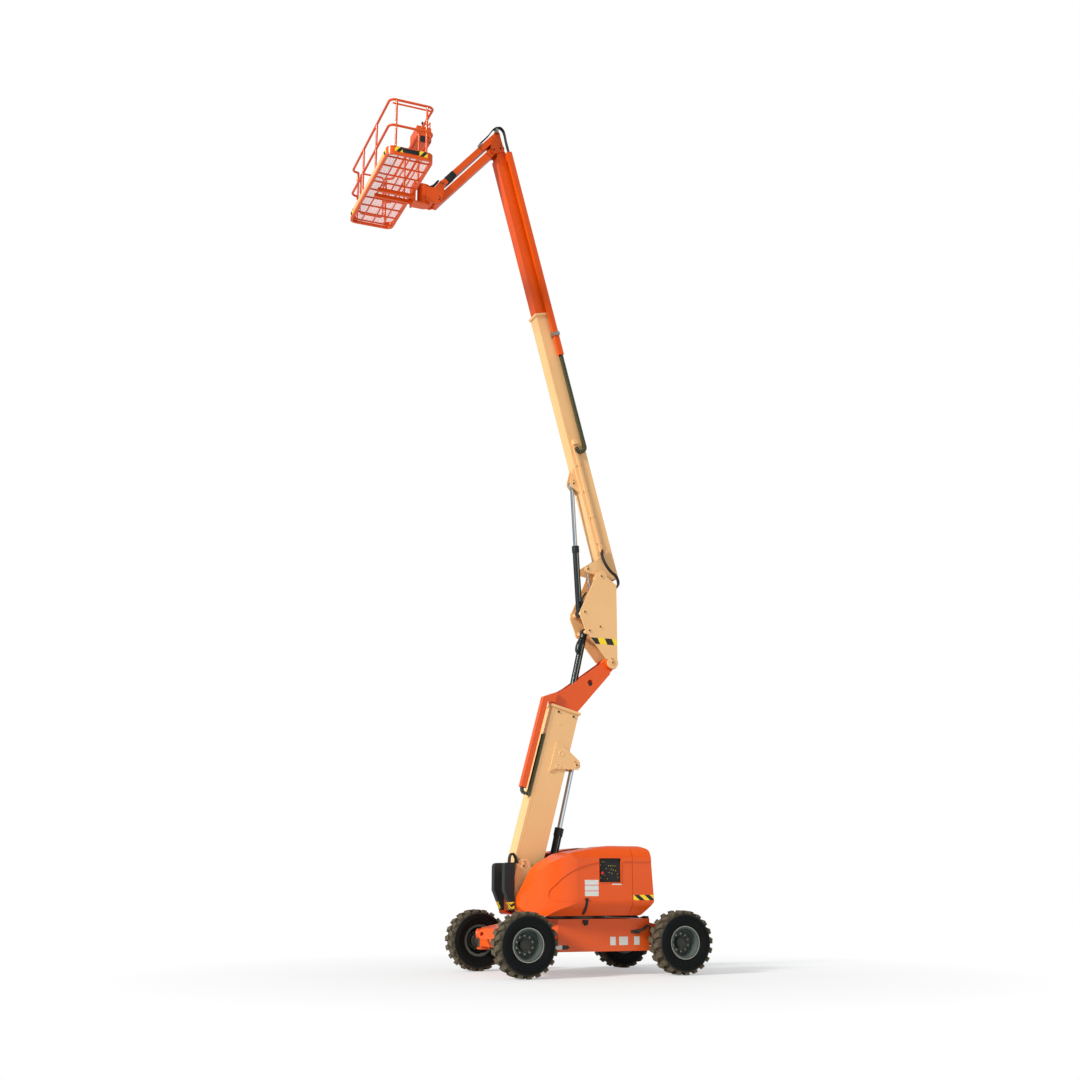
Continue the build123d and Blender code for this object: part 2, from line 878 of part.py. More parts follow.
# Tray on the tower's front for the hoses that follow the tower's telescope
tray_low = 78
tray_high = 156
tray_wall = 6
tray_depth = 45
tray_end = 2030
loop_foot = 1045
with BuildPart() as tower_hose_tray:
    tray_plane = slanted_plane(tower_pivot, tower_angle, tray_low)
    with BuildSketch(tray_plane):
        with Locations(((loop_foot + tray_end) / 2, tower_front + tray_depth / 2)):
            Rectangle(tray_end - loop_foot, tray_depth)
    extrude(amount=tray_high - tray_low)
    with BuildSketch(tray_plane.offset(tray_wall)):
        with Locations(((loop_foot + tray_end) / 2, tower_front + tray_depth / 2 + tray_wall)):
            Rectangle(tray_end - loop_foot + 2, tray_depth)
    extrude(amount=tray_high - tray_low - 2 * tray_wall, mode=Mode.SUBTRACT)
tower_hose_tray.part.label = "tower_hose_tray"
export_step(tower_hose_tray.part, "parts/tower_hose_tray.step")

# Tower lift cylinder, between the cheeks and the tower's bracket
lift_rod_radius = 38
lift_barrel_radius = 62
lift_barrel_length = 1200
lift_overlap = 150
lift_rod_length = span(lift_base, lift_eye) - lift_barrel_length + lift_overlap
tower_lift_barrel = barrel(
    lift_base, lift_eye, lift_barrel_length, lift_barrel_radius, lift_rod_radius, lift_pin, eye_half
)
tower_lift_barrel.label = "tower_lift_barrel"
export_step(tower_lift_barrel, "parts/tower_lift_barrel.step")
tower_lift_rod = rod(lift_base, lift_eye, lift_rod_length, lift_rod_radius, 58, eye_half)
tower_lift_rod.label = "tower_lift_rod"
export_step(tower_lift_rod, "parts/tower_lift_rod.step")

# Tower fly: inner tube that ends in a cranked head, open in front, with the upright's pin
tower_fly_front = tower_front - tower_pad
tower_fly_rear = tower_rear + tower_pad
tower_fly_half = tower_half - tower_pad
fly_tail = 140
head_start = 2530
head_plate = 25
head_boss = 105
head_pin = 45
web_plate = 20
web_reach = 140
head_overlap = 30
head_gap = 5
neck_rise = 170
neck_slope = 160
head_hole = (-222, 4405)
crank = bearing_of(tower_at(head_start, tower_fly_rear), upright_pin)
head_low = shift(upright_pin, 0, crank, -head_boss * 0.9)
head_high = shift(upright_pin, 0, crank, head_boss * 0.9)
with BuildPart() as tower_fly:
    tail = tower_at(fly_tail, 0)
    square_tube(
        end_plane(tail, tower_angle),
        -tower_fly_front,
        -tower_fly_rear,
        tower_fly_half,
        boom_wall,
        head_start + head_overlap - fly_tail,
    )
    plate_pair(
        tower_fly_half - head_plate,
        head_plate,
        (
            tower_at(head_start, tower_fly_rear),
            tower_at(head_start, tower_fly_front),
            tower_at(head_start + neck_rise, tower_fly_front),
            tower_at(head_start + neck_rise + neck_slope, tower_fly_front - neck_slope),
            head_high,
            head_low,
        ),
        ((upright_pin, head_boss),),
    )
    with BuildSketch(side_plane(tower_fly_half)):
        Polygon(
            tower_at(head_start - web_plate, tower_fly_rear),
            tower_at(head_start, tower_fly_rear),
            shift(head_low, -web_reach, crank),
            shift(head_low, -web_reach, crank, web_plate),
            tower_at(head_start - web_plate / 2, tower_fly_rear + web_plate),
            align=None,
        )
    extrude(amount=2 * tower_fly_half)
    cross_bore(head_hole, head_pin, tower_fly_half)
    cross_rod(upright_pin, head_boss, head_gap - upright_inner, upright_inner - head_gap)
    cross_rod(upright_pin, head_pin, -upright_inner - upright_plate, upright_inner + upright_plate)
tower_fly.part.label = "tower_fly"
export_step(tower_fly.part, "parts/tower_fly.step")

# Hose arm: hollow arm from the fly's head down the tower's front
arm_low = 75
arm_high = 185
arm_near = 245
arm_far = 335
arm_foot = 1134
arm_wall = 6
arm_head = (2540, head_start + neck_rise)
arm_step = 40
with BuildPart() as hose_arm:
    foot = tower_at(arm_foot, 0)
    middle = (arm_low + arm_high) / 2
    square_tube(
        end_plane(foot, tower_angle, middle),
        -arm_far,
        -arm_near,
        (arm_high - arm_low) / 2,
        arm_wall,
        arm_head[0] - arm_foot,
    )
    with BuildSketch(slanted_plane(tower_pivot, tower_angle, arm_low)):
        Polygon(
            (arm_head[0], tower_fly_front),
            (arm_head[1], tower_fly_front),
            (arm_head[1], tower_fly_front + arm_step),
            (arm_head[0] + arm_step, arm_far),
            (arm_head[0], arm_far),
            align=None,
        )
    extrude(amount=arm_high - arm_low)
hose_arm.part.label = "hose_arm"
export_step(hose_arm.part, "parts/hose_arm.step")


def hose_loop(plane, foot, fixed, moving, fixed_end, moving_end, thickness, breadth):
    # Bent run of hoses: a short fixed leg, a half turn and a long leg that travels
    radius = abs(moving - fixed) / 2
    middle = (moving + fixed) / 2
    bend = foot + radius + thickness / 2
    with BuildPart() as body:
        with BuildSketch(plane):
            with Locations((bend, middle)):
                Circle(radius + thickness / 2)
                Circle(radius - thickness / 2, mode=Mode.SUBTRACT)
            with Locations((bend + radius, middle)):
                Rectangle(2 * radius, 4 * radius, mode=Mode.SUBTRACT)
            for level, end in ((fixed, fixed_end), (moving, moving_end)):
                with Locations(((bend + end) / 2, level)):
                    Rectangle(end - bend, thickness)
        extrude(amount=breadth)
    return body.part


# Loop of the tower's hoses, from the tray into the arm
tower_loop_fixed = 168
tower_loop_moving = (arm_near + arm_far) / 2
tower_loop_thickness = 36
tower_loop_fixed_end = 1214
tower_loop_moving_end = 1998
tower_hose_loop = hose_loop(
    slanted_plane(tower_pivot, tower_angle, tray_low + tray_wall + pad_gap),
    loop_foot,
    tower_loop_fixed,
    tower_loop_moving,
    tower_loop_fixed_end,
    tower_loop_moving_end,
    tower_loop_thickness,
    tray_high - tray_low - 2 * (tray_wall + pad_gap),
)
tower_hose_loop.label = "tower_hose_loop"
export_step(tower_hose_loop, "parts/tower_hose_loop.step")

# Upright: two plates and a rear web, with the base pins of its cylinders
main_base = (-100, 5530)
level_top = (-180, 5231)
master_base = (-369, 5305)
upright_rear = -668
upright_edge = ((-477, 4786), (-198, 5124), (-110, 5250), (-20, 5480), (-40, 5570))
upright_foot = 4760
upright_shoulder = 6015
upright_top = 6210
boom_pin = 45
main_pin = 35
level_pin = 32
master_pin = 20
upright_boss = 95
main_boss = 75
level_boss = 70
web_z = (4900, 5950)
upright_outer = upright_inner + upright_plate
with BuildPart() as upright:
    plate_pair(
        upright_inner,
        upright_plate,
        (
            *upright_edge,
            (boom_pivot[0] + upright_boss, boom_pivot[1]),
            (boom_pivot[0], upright_top),
            (upright_rear, upright_shoulder),
            (upright_rear, upright_foot),
        ),
        (
            (upright_pin, upright_boss),
            (boom_pivot, upright_boss),
            (main_base, main_boss),
            (level_top, level_boss),
        ),
    )
    box_between((upright_rear, upright_rear + web_plate), (-upright_inner, upright_inner), web_z)
    cross_bore(upright_pin, head_pin + pin_gap, upright_outer)
    cross_bore(boom_pivot, boom_pin + pin_gap, upright_outer)
    cross_rod(main_base, main_pin, -upright_inner, upright_inner)
    cross_rod(level_top, level_pin, -upright_inner, upright_inner)
    cross_rod(master_base, master_pin, -upright_inner, upright_inner)
upright.part.label = "upright"
export_step(upright.part, "parts/upright.step")

# Cylinder that keeps the upright level, its rod inside the tower fly
level_eye = tower_at(1800, -215)
level_barrel_length = 1080
level_barrel_radius = 55
level_rod_radius = 34
level_overlap = 130
level_rod_length = span(level_top, level_eye) - level_barrel_length + level_overlap
upright_level_barrel = barrel(
    level_top, level_eye, level_barrel_length, level_barrel_radius, level_rod_radius, level_pin, eye_half
)
upright_level_barrel.label = "upright_level_barrel"
export_step(upright_level_barrel, "parts/upright_level_barrel.step")
upright_level_rod = rod(level_top, level_eye, level_rod_length, level_rod_radius, 44, eye_half)
upright_level_rod.label = "upright_level_rod"
export_step(upright_level_rod, "parts/upright_level_rod.step")

# Main boom base: square tube with a collar, pivot lugs and the lift cylinder's bracket
main_along = 1623
main_eye = boom_at(main_along, 3)
master_eye = boom_at(164, 179)
lug_thickness = 30
boom_tail = 80
boom_lug = ((-boom_tail, -250), (-boom_tail, 0), (60, 85), (120, 210), (210, 210), (300, -60), (420, -250))
master_boss = 48
boom_collar_rim = 20
boom_middle = -(boom_upper + boom_lower) / 2
boom_bracket_root = boom_lower - boom_wall / 2
boom_bracket_reach = 50
boom_bracket_foot = 195
boom_bracket_nose = 55
boom_bracket_rise = 275
guide_setback = 450
guide_start = boom_length - guide_setback
with BuildPart() as main_boom_base:
    square_tube(
        end_plane(boom_at(-boom_tail, 0), boom_angle),
        -boom_lower,
        -boom_upper,
        boom_half,
        boom_wall,
        boom_length + boom_tail,
    )
    with BuildSketch(end_plane(boom_at(boom_length - collar_length, 0), boom_angle)):
        with Locations((0, boom_middle)):
            Rectangle(2 * (boom_half + boom_collar_rim), boom_lower - boom_upper + 2 * boom_collar_rim)
            Rectangle(2 * (fly_half + pad_gap), fly_lower - fly_upper + 2 * pad_gap, mode=Mode.SUBTRACT)
    extrude(amount=collar_length)
    plate_pair(
        boom_half,
        lug_thickness,
        [boom_at(along, across) for along, across in boom_lug],
        ((boom_pivot, upright_boss), (master_eye, master_boss)),
    )
    plate_pair(
        eye_half + eye_gap,
        bracket_plate,
        (
            boom_at(main_along - boom_bracket_foot, boom_bracket_root),
            boom_at(main_along - boom_bracket_nose, boom_bracket_reach),
            boom_at(main_along + boom_bracket_nose, boom_bracket_reach),
            boom_at(main_along + boom_bracket_rise, boom_bracket_root),
        ),
        ((main_eye, eye_boss),),
    )
    cross_rod(boom_pivot, boom_pin, -upright_outer, upright_outer)
main_boom_base.part.label = "main_boom_base"
export_step(main_boom_base.part, "parts/main_boom_base.step")

# Conduit and hose bracket on the boom's left side
conduit_width = 34
conduit_height = 44
conduit_x = (400, 2250)
conduit_level = -150
bracket_length = 80
bracket_height = 60
bracket_width = 104
with BuildPart() as hose_conduit:
    conduit_plane = slanted_plane(boom_pivot, boom_angle, boom_half)
    with BuildSketch(conduit_plane):
        with Locations((sum(conduit_x) / 2, conduit_level)):
            Rectangle(conduit_x[1] - conduit_x[0], conduit_height)
    extrude(amount=conduit_width)
    with BuildSketch(conduit_plane):
        with Locations((conduit_x[1] + bracket_length / 2, conduit_level)):
            Rectangle(bracket_length, bracket_height)
    extrude(amount=bracket_width)
hose_conduit.part.label = "hose_conduit"
export_step(hose_conduit.part, "parts/hose_conduit.step")

# Main lift cylinder, from the upright to the boom's bracket
main_barrel_length = 1130
main_barrel_radius = 52
main_rod_radius = 34
main_overlap = 150
main_rod_length = span(main_base, main_eye) - main_barrel_length + main_overlap
main_lift_barrel = barrel(
    main_base, main_eye, main_barrel_length, main_barrel_radius, main_rod_radius, main_pin, eye_half
)
main_lift_barrel.label = "main_lift_barrel"
export_step(main_lift_barrel, "parts/main_lift_barrel.step")
main_lift_rod = rod(main_base, main_eye, main_rod_length, main_rod_radius, 52, eye_half)
main_lift_rod.label = "main_lift_rod"
export_step(main_lift_rod, "parts/main_lift_rod.step")

# Small cylinder that senses the boom's angle, left of the main lift cylinder
master_y = 97
master_barrel_length = 560
master_barrel_radius = 26
master_rod_radius = 15
master_eye_half = 19
master_overlap = 80
master_rod_length = span(master_base, master_eye) - master_barrel_length + master_overlap
boom_level_barrel = barrel(
    master_base,
    master_eye,
    master_barrel_length,
    master_barrel_radius,
    master_rod_radius,
    master_pin,
    master_eye_half,
    master_y,
)
boom_level_barrel.label = "boom_level_barrel"
export_step(boom_level_barrel, "parts/boom_level_barrel.step")
boom_level_rod = rod(
    master_base,
    master_eye,
    master_rod_length,
    master_rod_radius,
    2 * master_rod_radius,
    master_eye_half,
    master_y,
)
boom_level_rod.label = "boom_level_rod"
export_step(boom_level_rod, "parts/boom_level_rod.step")

# Main fly: inner tube forked at its tip for the jib's head
tip_pin = boom_at(fly_tip, (fly_upper + fly_lower) / 2)
tube_end = fly_tip - 160
fork_overlap = 80
fork_boss = 58
tip_plate = 25
head_inner = 110
head_thickness = 25
tip_pin_radius = 38
with BuildPart() as main_boom_fly:
    square_tube(
        end_plane(boom_at(fly_start, 0), boom_angle),
        -fly_lower,
        -fly_upper,
        fly_half,
        boom_wall,
        tube_end - fly_start,
    )
    plate_pair(
        fly_half - tip_plate,
        tip_plate,
        (
            boom_at(tube_end - fork_overlap, fly_upper),
            boom_at(tube_end - fork_overlap, fly_lower),
            shift(tip_pin, 0, boom_angle, fork_boss),
            shift(tip_pin, 0, boom_angle, -fork_boss),
            boom_at(tube_end, fly_upper),
        ),
        ((tip_pin, fork_boss),),
    )
    cross_bore(tip_pin, tip_pin_radius + pin_gap, fly_half)
main_boom_fly.part.label = "main_boom_fly"
export_step(main_boom_fly.part, "parts/main_boom_fly.step")

# Push tube that draws the hoses along the boom's left side, and its guide on the base
push_low = 160
push_high = 235
push_upper = -345
push_lower = -255
push_foot = 3804
push_head = 7520
push_wall = 5
push_foot_pad = 70
push_pad_half = 60
push_pad_margin = 10
with BuildPart() as push_tube:
    foot = boom_at(push_foot, 0)
    middle = (push_low + push_high) / 2
    square_tube(
        end_plane(foot, boom_angle, middle),
        -push_lower,
        -push_upper,
        (push_high - push_low) / 2,
        push_wall,
        push_head - push_foot,
    )
    with BuildSketch(slanted_plane(boom_pivot, boom_angle, fly_half)):
        with Locations((push_head - push_foot_pad, (push_lower + fly_upper) / 2)):
            Rectangle(2 * push_pad_half, push_lower - fly_upper - push_pad_margin)
    extrude(amount=push_low - fly_half)
push_tube.part.label = "push_tube"
export_step(push_tube.part, "parts/push_tube.step")

guide_gap = 6
guide_wall = 8
guide_length = 60
guide_middle = -(push_lower + push_upper) / 2
guide_outer = push_high + guide_gap + guide_wall
with BuildPart() as push_guide:
    with BuildSketch(end_plane(boom_at(guide_start, 0), boom_angle)):
        with Locations(((boom_half + guide_outer) / 2, guide_middle)):
            Rectangle(guide_outer - boom_half, push_lower - push_upper + 2 * (guide_gap + guide_wall))
        with Locations(((push_low + push_high) / 2, guide_middle)):
            Rectangle(
                push_high - push_low + 2 * guide_gap,
                push_lower - push_upper + 2 * guide_gap,
                mode=Mode.SUBTRACT,
            )
    extrude(amount=guide_length)
push_guide.part.label = "push_guide"
export_step(push_guide.part, "parts/push_guide.step")

# Loop of the boom's hoses, from the bracket into the push tube
boom_loop_foot = 2080
boom_loop_fixed_end = 2190
boom_loop_reach = 60
boom_loop_thickness = 46
boom_hose_loop = hose_loop(
    slanted_plane(boom_pivot, boom_angle, push_low + push_wall + pad_gap),
    boom_loop_foot,
    conduit_level,
    (push_upper + push_lower) / 2,
    boom_loop_fixed_end,
    push_foot + boom_loop_reach,
    boom_loop_thickness,
    push_high - push_low - 2 * (push_wall + pad_gap),
)
boom_hose_loop.label = "boom_hose_loop"
export_step(boom_hose_loop, "parts/boom_hose_loop.step")

# Jib: head on the boom's tip, two parallel links and the platform's support
jib_upper_root = shift(jib_root, link_offset, link_offset_angle)
jib_end = shift(jib_root, jib_length, jib_angle)
jib_upper_end = shift(jib_upper_root, jib_length, jib_angle)
jib_pin = 32
link_half = 100
lower_depth = 124
upper_depth = 100
lower_boss = lower_depth / 2
upper_boss = upper_depth / 2 + 5
tip_boss = 70
stay = shift(tip_pin, 117, 78)
stay_radius = 34
with BuildPart() as jib_head:
    plate_pair(
        head_inner,
        head_thickness,
        (
            shift(tip_pin, tip_boss, 200),
            shift(jib_upper_root, upper_boss, 190),
            shift(jib_upper_root, upper_boss, 20),
            shift(jib_root, lower_boss, 0),
            shift(jib_root, lower_boss, -100),
            shift(tip_pin, tip_boss, 260),
        ),
        ((tip_pin, tip_boss), (jib_root, lower_boss), (jib_upper_root, upper_boss)),
    )
    cross_rod(tip_pin, tip_pin_radius, -head_inner, head_inner)
    cross_rod(jib_root, jib_pin, -head_inner, head_inner)
    cross_rod(jib_upper_root, jib_pin, -head_inner, head_inner)
    cross_rod(stay, stay_radius, -head_inner, head_inner)
jib_head.part.label = "jib_head"
export_step(jib_head.part, "parts/jib_head.step")


def jib_link(start, depth):
    # Link with round ends, bored for its pins
    with BuildPart() as body:
        plane = slanted_plane(start, jib_angle, -link_half)
        with BuildSketch(plane):
            with Locations((jib_length / 2, 0)):
                SlotCenterToCenter(jib_length, depth)
            with Locations((0, 0), (jib_length, 0)):
                Circle(jib_pin + pin_gap, mode=Mode.SUBTRACT)
        extrude(amount=2 * link_half)
    return body.part


jib_lower_link = jib_link(jib_root, lower_depth)
jib_lower_link.label = "jib_lower_link"
export_step(jib_lower_link, "parts/jib_lower_link.step")
jib_upper_link = jib_link(jib_upper_root, upper_depth)
jib_upper_link.label = "jib_upper_link"
export_step(jib_upper_link, "parts/jib_upper_link.step")

# Platform support with the rotator
rotator_axis = jib_end[0] + rotator_reach
rotator_radius = 105
rotator_low = 12290
rotator_high = 12600
support_back = 150
support_front = 60
support_margin = 20
with BuildPart() as platform_support:
    plate_pair(
        head_inner,
        head_thickness,
        (
            shift(jib_upper_end, upper_boss, 150),
            shift(jib_upper_end, upper_boss, 60),
            (rotator_axis - support_back, rotator_high - support_margin),
            (rotator_axis, rotator_high - 2 * support_margin),
            (rotator_axis, rotator_low + support_margin),
            (rotator_axis - support_back, rotator_low),
            shift(jib_end, lower_boss, -60),
            shift(jib_end, lower_boss, 190),
        ),
        ((jib_end, lower_boss), (jib_upper_end, upper_boss)),
    )
    cross_rod(jib_end, jib_pin, -head_inner, head_inner)
    cross_rod(jib_upper_end, jib_pin, -head_inner, head_inner)
    box_between(
        (rotator_axis - support_back, rotator_axis - support_front),
        (-head_inner, head_inner),
        (rotator_low + support_margin, rotator_high - 2 * support_margin),
    )
    with BuildSketch(Plane.XY.offset(rotator_low)):
        with Locations((rotator_axis, 0)):
            Circle(rotator_radius)
    extrude(amount=rotator_high - rotator_low, mode=Mode.SUBTRACT)
platform_support.part.label = "platform_support"
export_step(platform_support.part, "parts/platform_support.step")

with BuildPart() as platform_rotator:
    with BuildSketch(Plane.XY.offset(rotator_low)):
        with Locations((rotator_axis, 0)):
            Circle(rotator_radius)
    extrude(amount=rotator_high - rotator_low)
platform_rotator.part.label = "platform_rotator"
export_step(platform_rotator.part, "parts/platform_rotator.step")

# Platform bracket: two plates on the rotator, a back plate and two arms under the floor
frame_tube = 40
frame_depth = 40
bracket_half = 130
swivel_plate = 30
swivel_half = rotator_radius - 5
arm_y = 100
arm_half = 25
arm_depth = 60
arm_short = 150
frame_low = floor_height - frame_depth
swivel_low = rotator_low - pin_gap - swivel_plate
swivel_high = rotator_high + pin_gap
with BuildPart() as platform_bracket:
    for level in (swivel_high, swivel_low):
        with BuildSketch(Plane.XY.offset(level)):
            with Locations((rotator_axis, 0)):
                Circle(swivel_half)
            with Locations(((rotator_axis + platform_rear) / 2, 0)):
                Rectangle(platform_rear - rotator_axis, 2 * swivel_half)
        extrude(amount=swivel_plate)
    box_between(
        (platform_rear - swivel_plate, platform_rear),
        (-bracket_half, bracket_half),
        (min(swivel_low, frame_low - arm_depth), max(swivel_high + swivel_plate, frame_low)),
    )
    for y in (-arm_y, arm_y):
        box_between(
            (platform_rear, platform_front - arm_short),
            (y - arm_half, y + arm_half),
            (frame_low - arm_depth, frame_low),
        )
platform_bracket.part.label = "platform_bracket"
export_step(platform_bracket.part, "parts/platform_bracket.step")

# Platform frame: floor ring with round corners, ribs, toe boards, rails and posts
floor_plate = 15
rib_count = 9
rib_width = 14
bar_count = 3
toe_plate = 5
ring_corner = 110
rail_inset = rail_radius
mid_rail = floor_height + rail_height / 2
grab_radius = 14
grab_drop = 90
grab_end = 60
post_corner = ring_corner + post_radius
post_root = 5
gate_x = (platform_rear + 130, platform_front - 130)
platform_middle = (platform_rear + platform_width / 2, 0)
end_y = platform_half - rail_inset


def platform_ring(level, inset, height):
    # Ring round the platform with round corners, from its outside inwards
    with BuildSketch(Plane.XY.offset(level)) as ring:
        with Locations(platform_middle):
            RectangleRounded(platform_width, platform_length, ring_corner)
            RectangleRounded(
                platform_width - 2 * inset,
                platform_length - 2 * inset,
                ring_corner - inset,
                mode=Mode.SUBTRACT,
            )
    extrude(ring.sketch, amount=height)


with BuildPart() as platform_frame:
    platform_ring(frame_low, frame_tube, frame_depth)
    platform_ring(floor_height, toe_plate, toe_height)
    for rib in range(rib_count):
        y = -platform_half + platform_length * (rib + 0.5) / rib_count
        box_between(
            (platform_rear + frame_tube / 2, platform_front - frame_tube / 2),
            (y - rib_width / 2, y + rib_width / 2),
            (frame_low, floor_height - floor_plate),
        )
    for bar in range(bar_count):
        x = platform_rear + platform_width * (bar + 1) / (bar_count + 1)
        box_between(
            (x - rib_width / 2, x + rib_width / 2),
            (-platform_half + frame_tube / 2, platform_half - frame_tube / 2),
            (frame_low, floor_height - floor_plate),
        )
    box_between(
        gate_x,
        (-platform_half - 1, -platform_half + 1 + toe_plate),
        (floor_height, rail_top),
        mode=Mode.SUBTRACT,
    )
    for level in (mid_rail, rail_top - rail_radius):
        with BuildLine() as rail_path:
            FilletPolyline(
                (gate_x[0], -end_y, level),
                (platform_rear + rail_inset, -end_y, level),
                (platform_rear + rail_inset, end_y, level),
                (platform_front - rail_inset, end_y, level),
                (platform_front - rail_inset, -end_y, level),
                (gate_x[1], -end_y, level),
                radius=ring_corner - rail_inset,
            )
        with BuildSketch(Plane(origin=rail_path.line @ 0, z_dir=rail_path.line % 0)):
            Circle(rail_radius)
        sweep()
    with BuildSketch(Plane.YZ.offset(platform_rear + grab_end)):
        with Locations((end_y, rail_top - grab_drop)):
            Circle(grab_radius)
    extrude(amount=platform_width - 2 * grab_end)
    posts = [(x, -end_y) for x in gate_x]
    posts += [(x, end_y) for x in (platform_rear + post_corner, platform_front - post_corner)]
    for x in (platform_rear + rail_inset, platform_front - rail_inset):
        posts += [(x, y) for y in (-platform_half / 3, platform_half / 3)]
    with BuildSketch(Plane.XY.offset(floor_height - post_root)):
        with Locations(*posts):
            Circle(post_radius)
    extrude(amount=rail_height - rail_radius + post_root)
platform_frame.part.label = "platform_frame"
export_step(platform_frame.part, "parts/platform_frame.step")

# Platform floor: slotted plate between the frame tubes
slot_rows = 3
slot_columns = 22
slot_size = (190, 70)
floor_width = platform_width - 2 * frame_tube
floor_length = platform_length - 2 * frame_tube
with BuildPart() as platform_floor:
    with BuildSketch(Plane.XY.offset(floor_height - floor_plate)):
        with Locations(platform_middle):
            RectangleRounded(floor_width, floor_length, ring_corner - frame_tube)
            with GridLocations(floor_width / slot_rows, floor_length / slot_columns, slot_rows, slot_columns):
                Rectangle(*slot_size, mode=Mode.SUBTRACT)
    extrude(amount=floor_plate)
platform_floor.part.label = "platform_floor"
export_step(platform_floor.part, "parts/platform_floor.step")

# Platform console outside the rear rail, hung on it by a seat plate
console_depth = 250
console_half = 200
console_drop = 40
console_rise = 260
console_round = 25
console_seat = 12
with BuildPart() as platform_console:
    box_between(
        (platform_rear - console_depth, platform_rear - pad_gap),
        (-console_half, console_half),
        (rail_top - console_drop, rail_top + console_rise),
    )
    fillet(platform_console.edges().filter_by(Axis.Y).group_by(Axis.X)[0], console_round)
    box_between(
        (platform_rear - pad_gap, platform_rear + 2 * rail_radius),
        (-console_half, console_half),
        (rail_top, rail_top + console_seat),
    )
platform_console.part.label = "platform_console"
export_step(platform_console.part, "parts/platform_console.step")

# Gate at the right end, hinged on its front post and swinging inwards
gate_gap = 26
gate_radius = 16
gate_low = floor_height + toe_height + 60
gate_high = rail_top - rail_radius
gate_corner = 50
gate_knuckle = 60
gate_eye = post_radius + 10
gate_strap = 24
gate_strap_drop = 160
with BuildPart() as platform_gate:
    with BuildLine() as gate_path:
        gate_rear = gate_x[0] + rail_radius + gate_gap
        gate_front = gate_x[1] - rail_radius - gate_gap
        FilletPolyline(
            (gate_rear, -end_y, gate_high),
            (gate_front, -end_y, gate_high),
            (gate_front, -end_y, gate_low),
            (gate_rear, -end_y, gate_low),
            radius=gate_corner,
            close=True,
        )
    with BuildSketch(Plane(origin=gate_path.line @ 0, z_dir=gate_path.line % 0)):
        Circle(gate_radius)
    sweep()
    for level in (gate_low + gate_strap_drop - gate_knuckle, gate_high - gate_strap_drop):
        with BuildSketch(Plane.XY.offset(level)):
            with Locations((gate_x[1], -end_y)):
                Circle(gate_eye)
            with Locations(((gate_front + gate_x[1]) / 2, -end_y)):
                Rectangle(gate_x[1] - gate_front, gate_strap)
            with Locations((gate_x[1], -end_y)):
                Circle(post_radius + pin_gap, mode=Mode.SUBTRACT)
        extrude(amount=gate_knuckle)
platform_gate.part.label = "platform_gate"
export_step(platform_gate.part, "parts/platform_gate.step")
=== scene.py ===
import json
import math

import bmesh
import bpy
from mathutils import Matrix, Vector
from mathutils.bvhtree import BVHTree


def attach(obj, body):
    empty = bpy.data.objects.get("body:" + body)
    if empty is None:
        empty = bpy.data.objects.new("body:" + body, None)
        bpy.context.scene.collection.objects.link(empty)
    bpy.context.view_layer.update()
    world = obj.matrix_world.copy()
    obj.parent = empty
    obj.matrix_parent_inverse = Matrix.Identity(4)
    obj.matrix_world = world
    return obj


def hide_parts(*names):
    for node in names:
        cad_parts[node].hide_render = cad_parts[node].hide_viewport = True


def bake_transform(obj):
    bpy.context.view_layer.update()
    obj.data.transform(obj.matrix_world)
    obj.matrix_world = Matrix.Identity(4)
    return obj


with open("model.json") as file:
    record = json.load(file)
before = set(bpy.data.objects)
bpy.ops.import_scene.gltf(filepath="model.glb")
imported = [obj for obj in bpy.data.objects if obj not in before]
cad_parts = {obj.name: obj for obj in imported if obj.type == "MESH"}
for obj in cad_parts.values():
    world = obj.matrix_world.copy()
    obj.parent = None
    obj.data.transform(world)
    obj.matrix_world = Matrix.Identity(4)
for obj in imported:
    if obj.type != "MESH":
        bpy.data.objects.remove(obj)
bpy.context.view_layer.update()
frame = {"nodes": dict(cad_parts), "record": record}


def linear(code):  # hex sRGB to linear RGBA
    parts = [int(code[i:i + 2], 16) / 255 for i in (1, 3, 5)]
    return (*[c / 12.92 if c <= 0.04045 else ((c + 0.055) / 1.055) ** 2.4 for c in parts], 1)


def addNode(tree, kind, values=None, links=None, **settings):
    node = tree.nodes.new(kind)
    for key, value in settings.items():
        setattr(node, key, value)
    for socket, value in (values or {}).items():
        node.inputs[socket].default_value = value
    for socket, source in (links or {}).items():
        tree.links.new(source, node.inputs[socket])
    return node


def newMaterial(name):
    material = bpy.data.materials.new(name)
    material.use_nodes = True
    tree = material.node_tree
    return material, tree, tree.nodes["Principled BSDF"]


# What every coated surface shares: dust below a height, spots in the gloss, the clear coat
surface = dict(
    dustTone="#a08d70", dustFoot=0.2, spots=26.0, smoother=0.05, duller=0.08, bump=0.001,
    ior=1.5, gleam=0.25, coatRough=0.08,
)


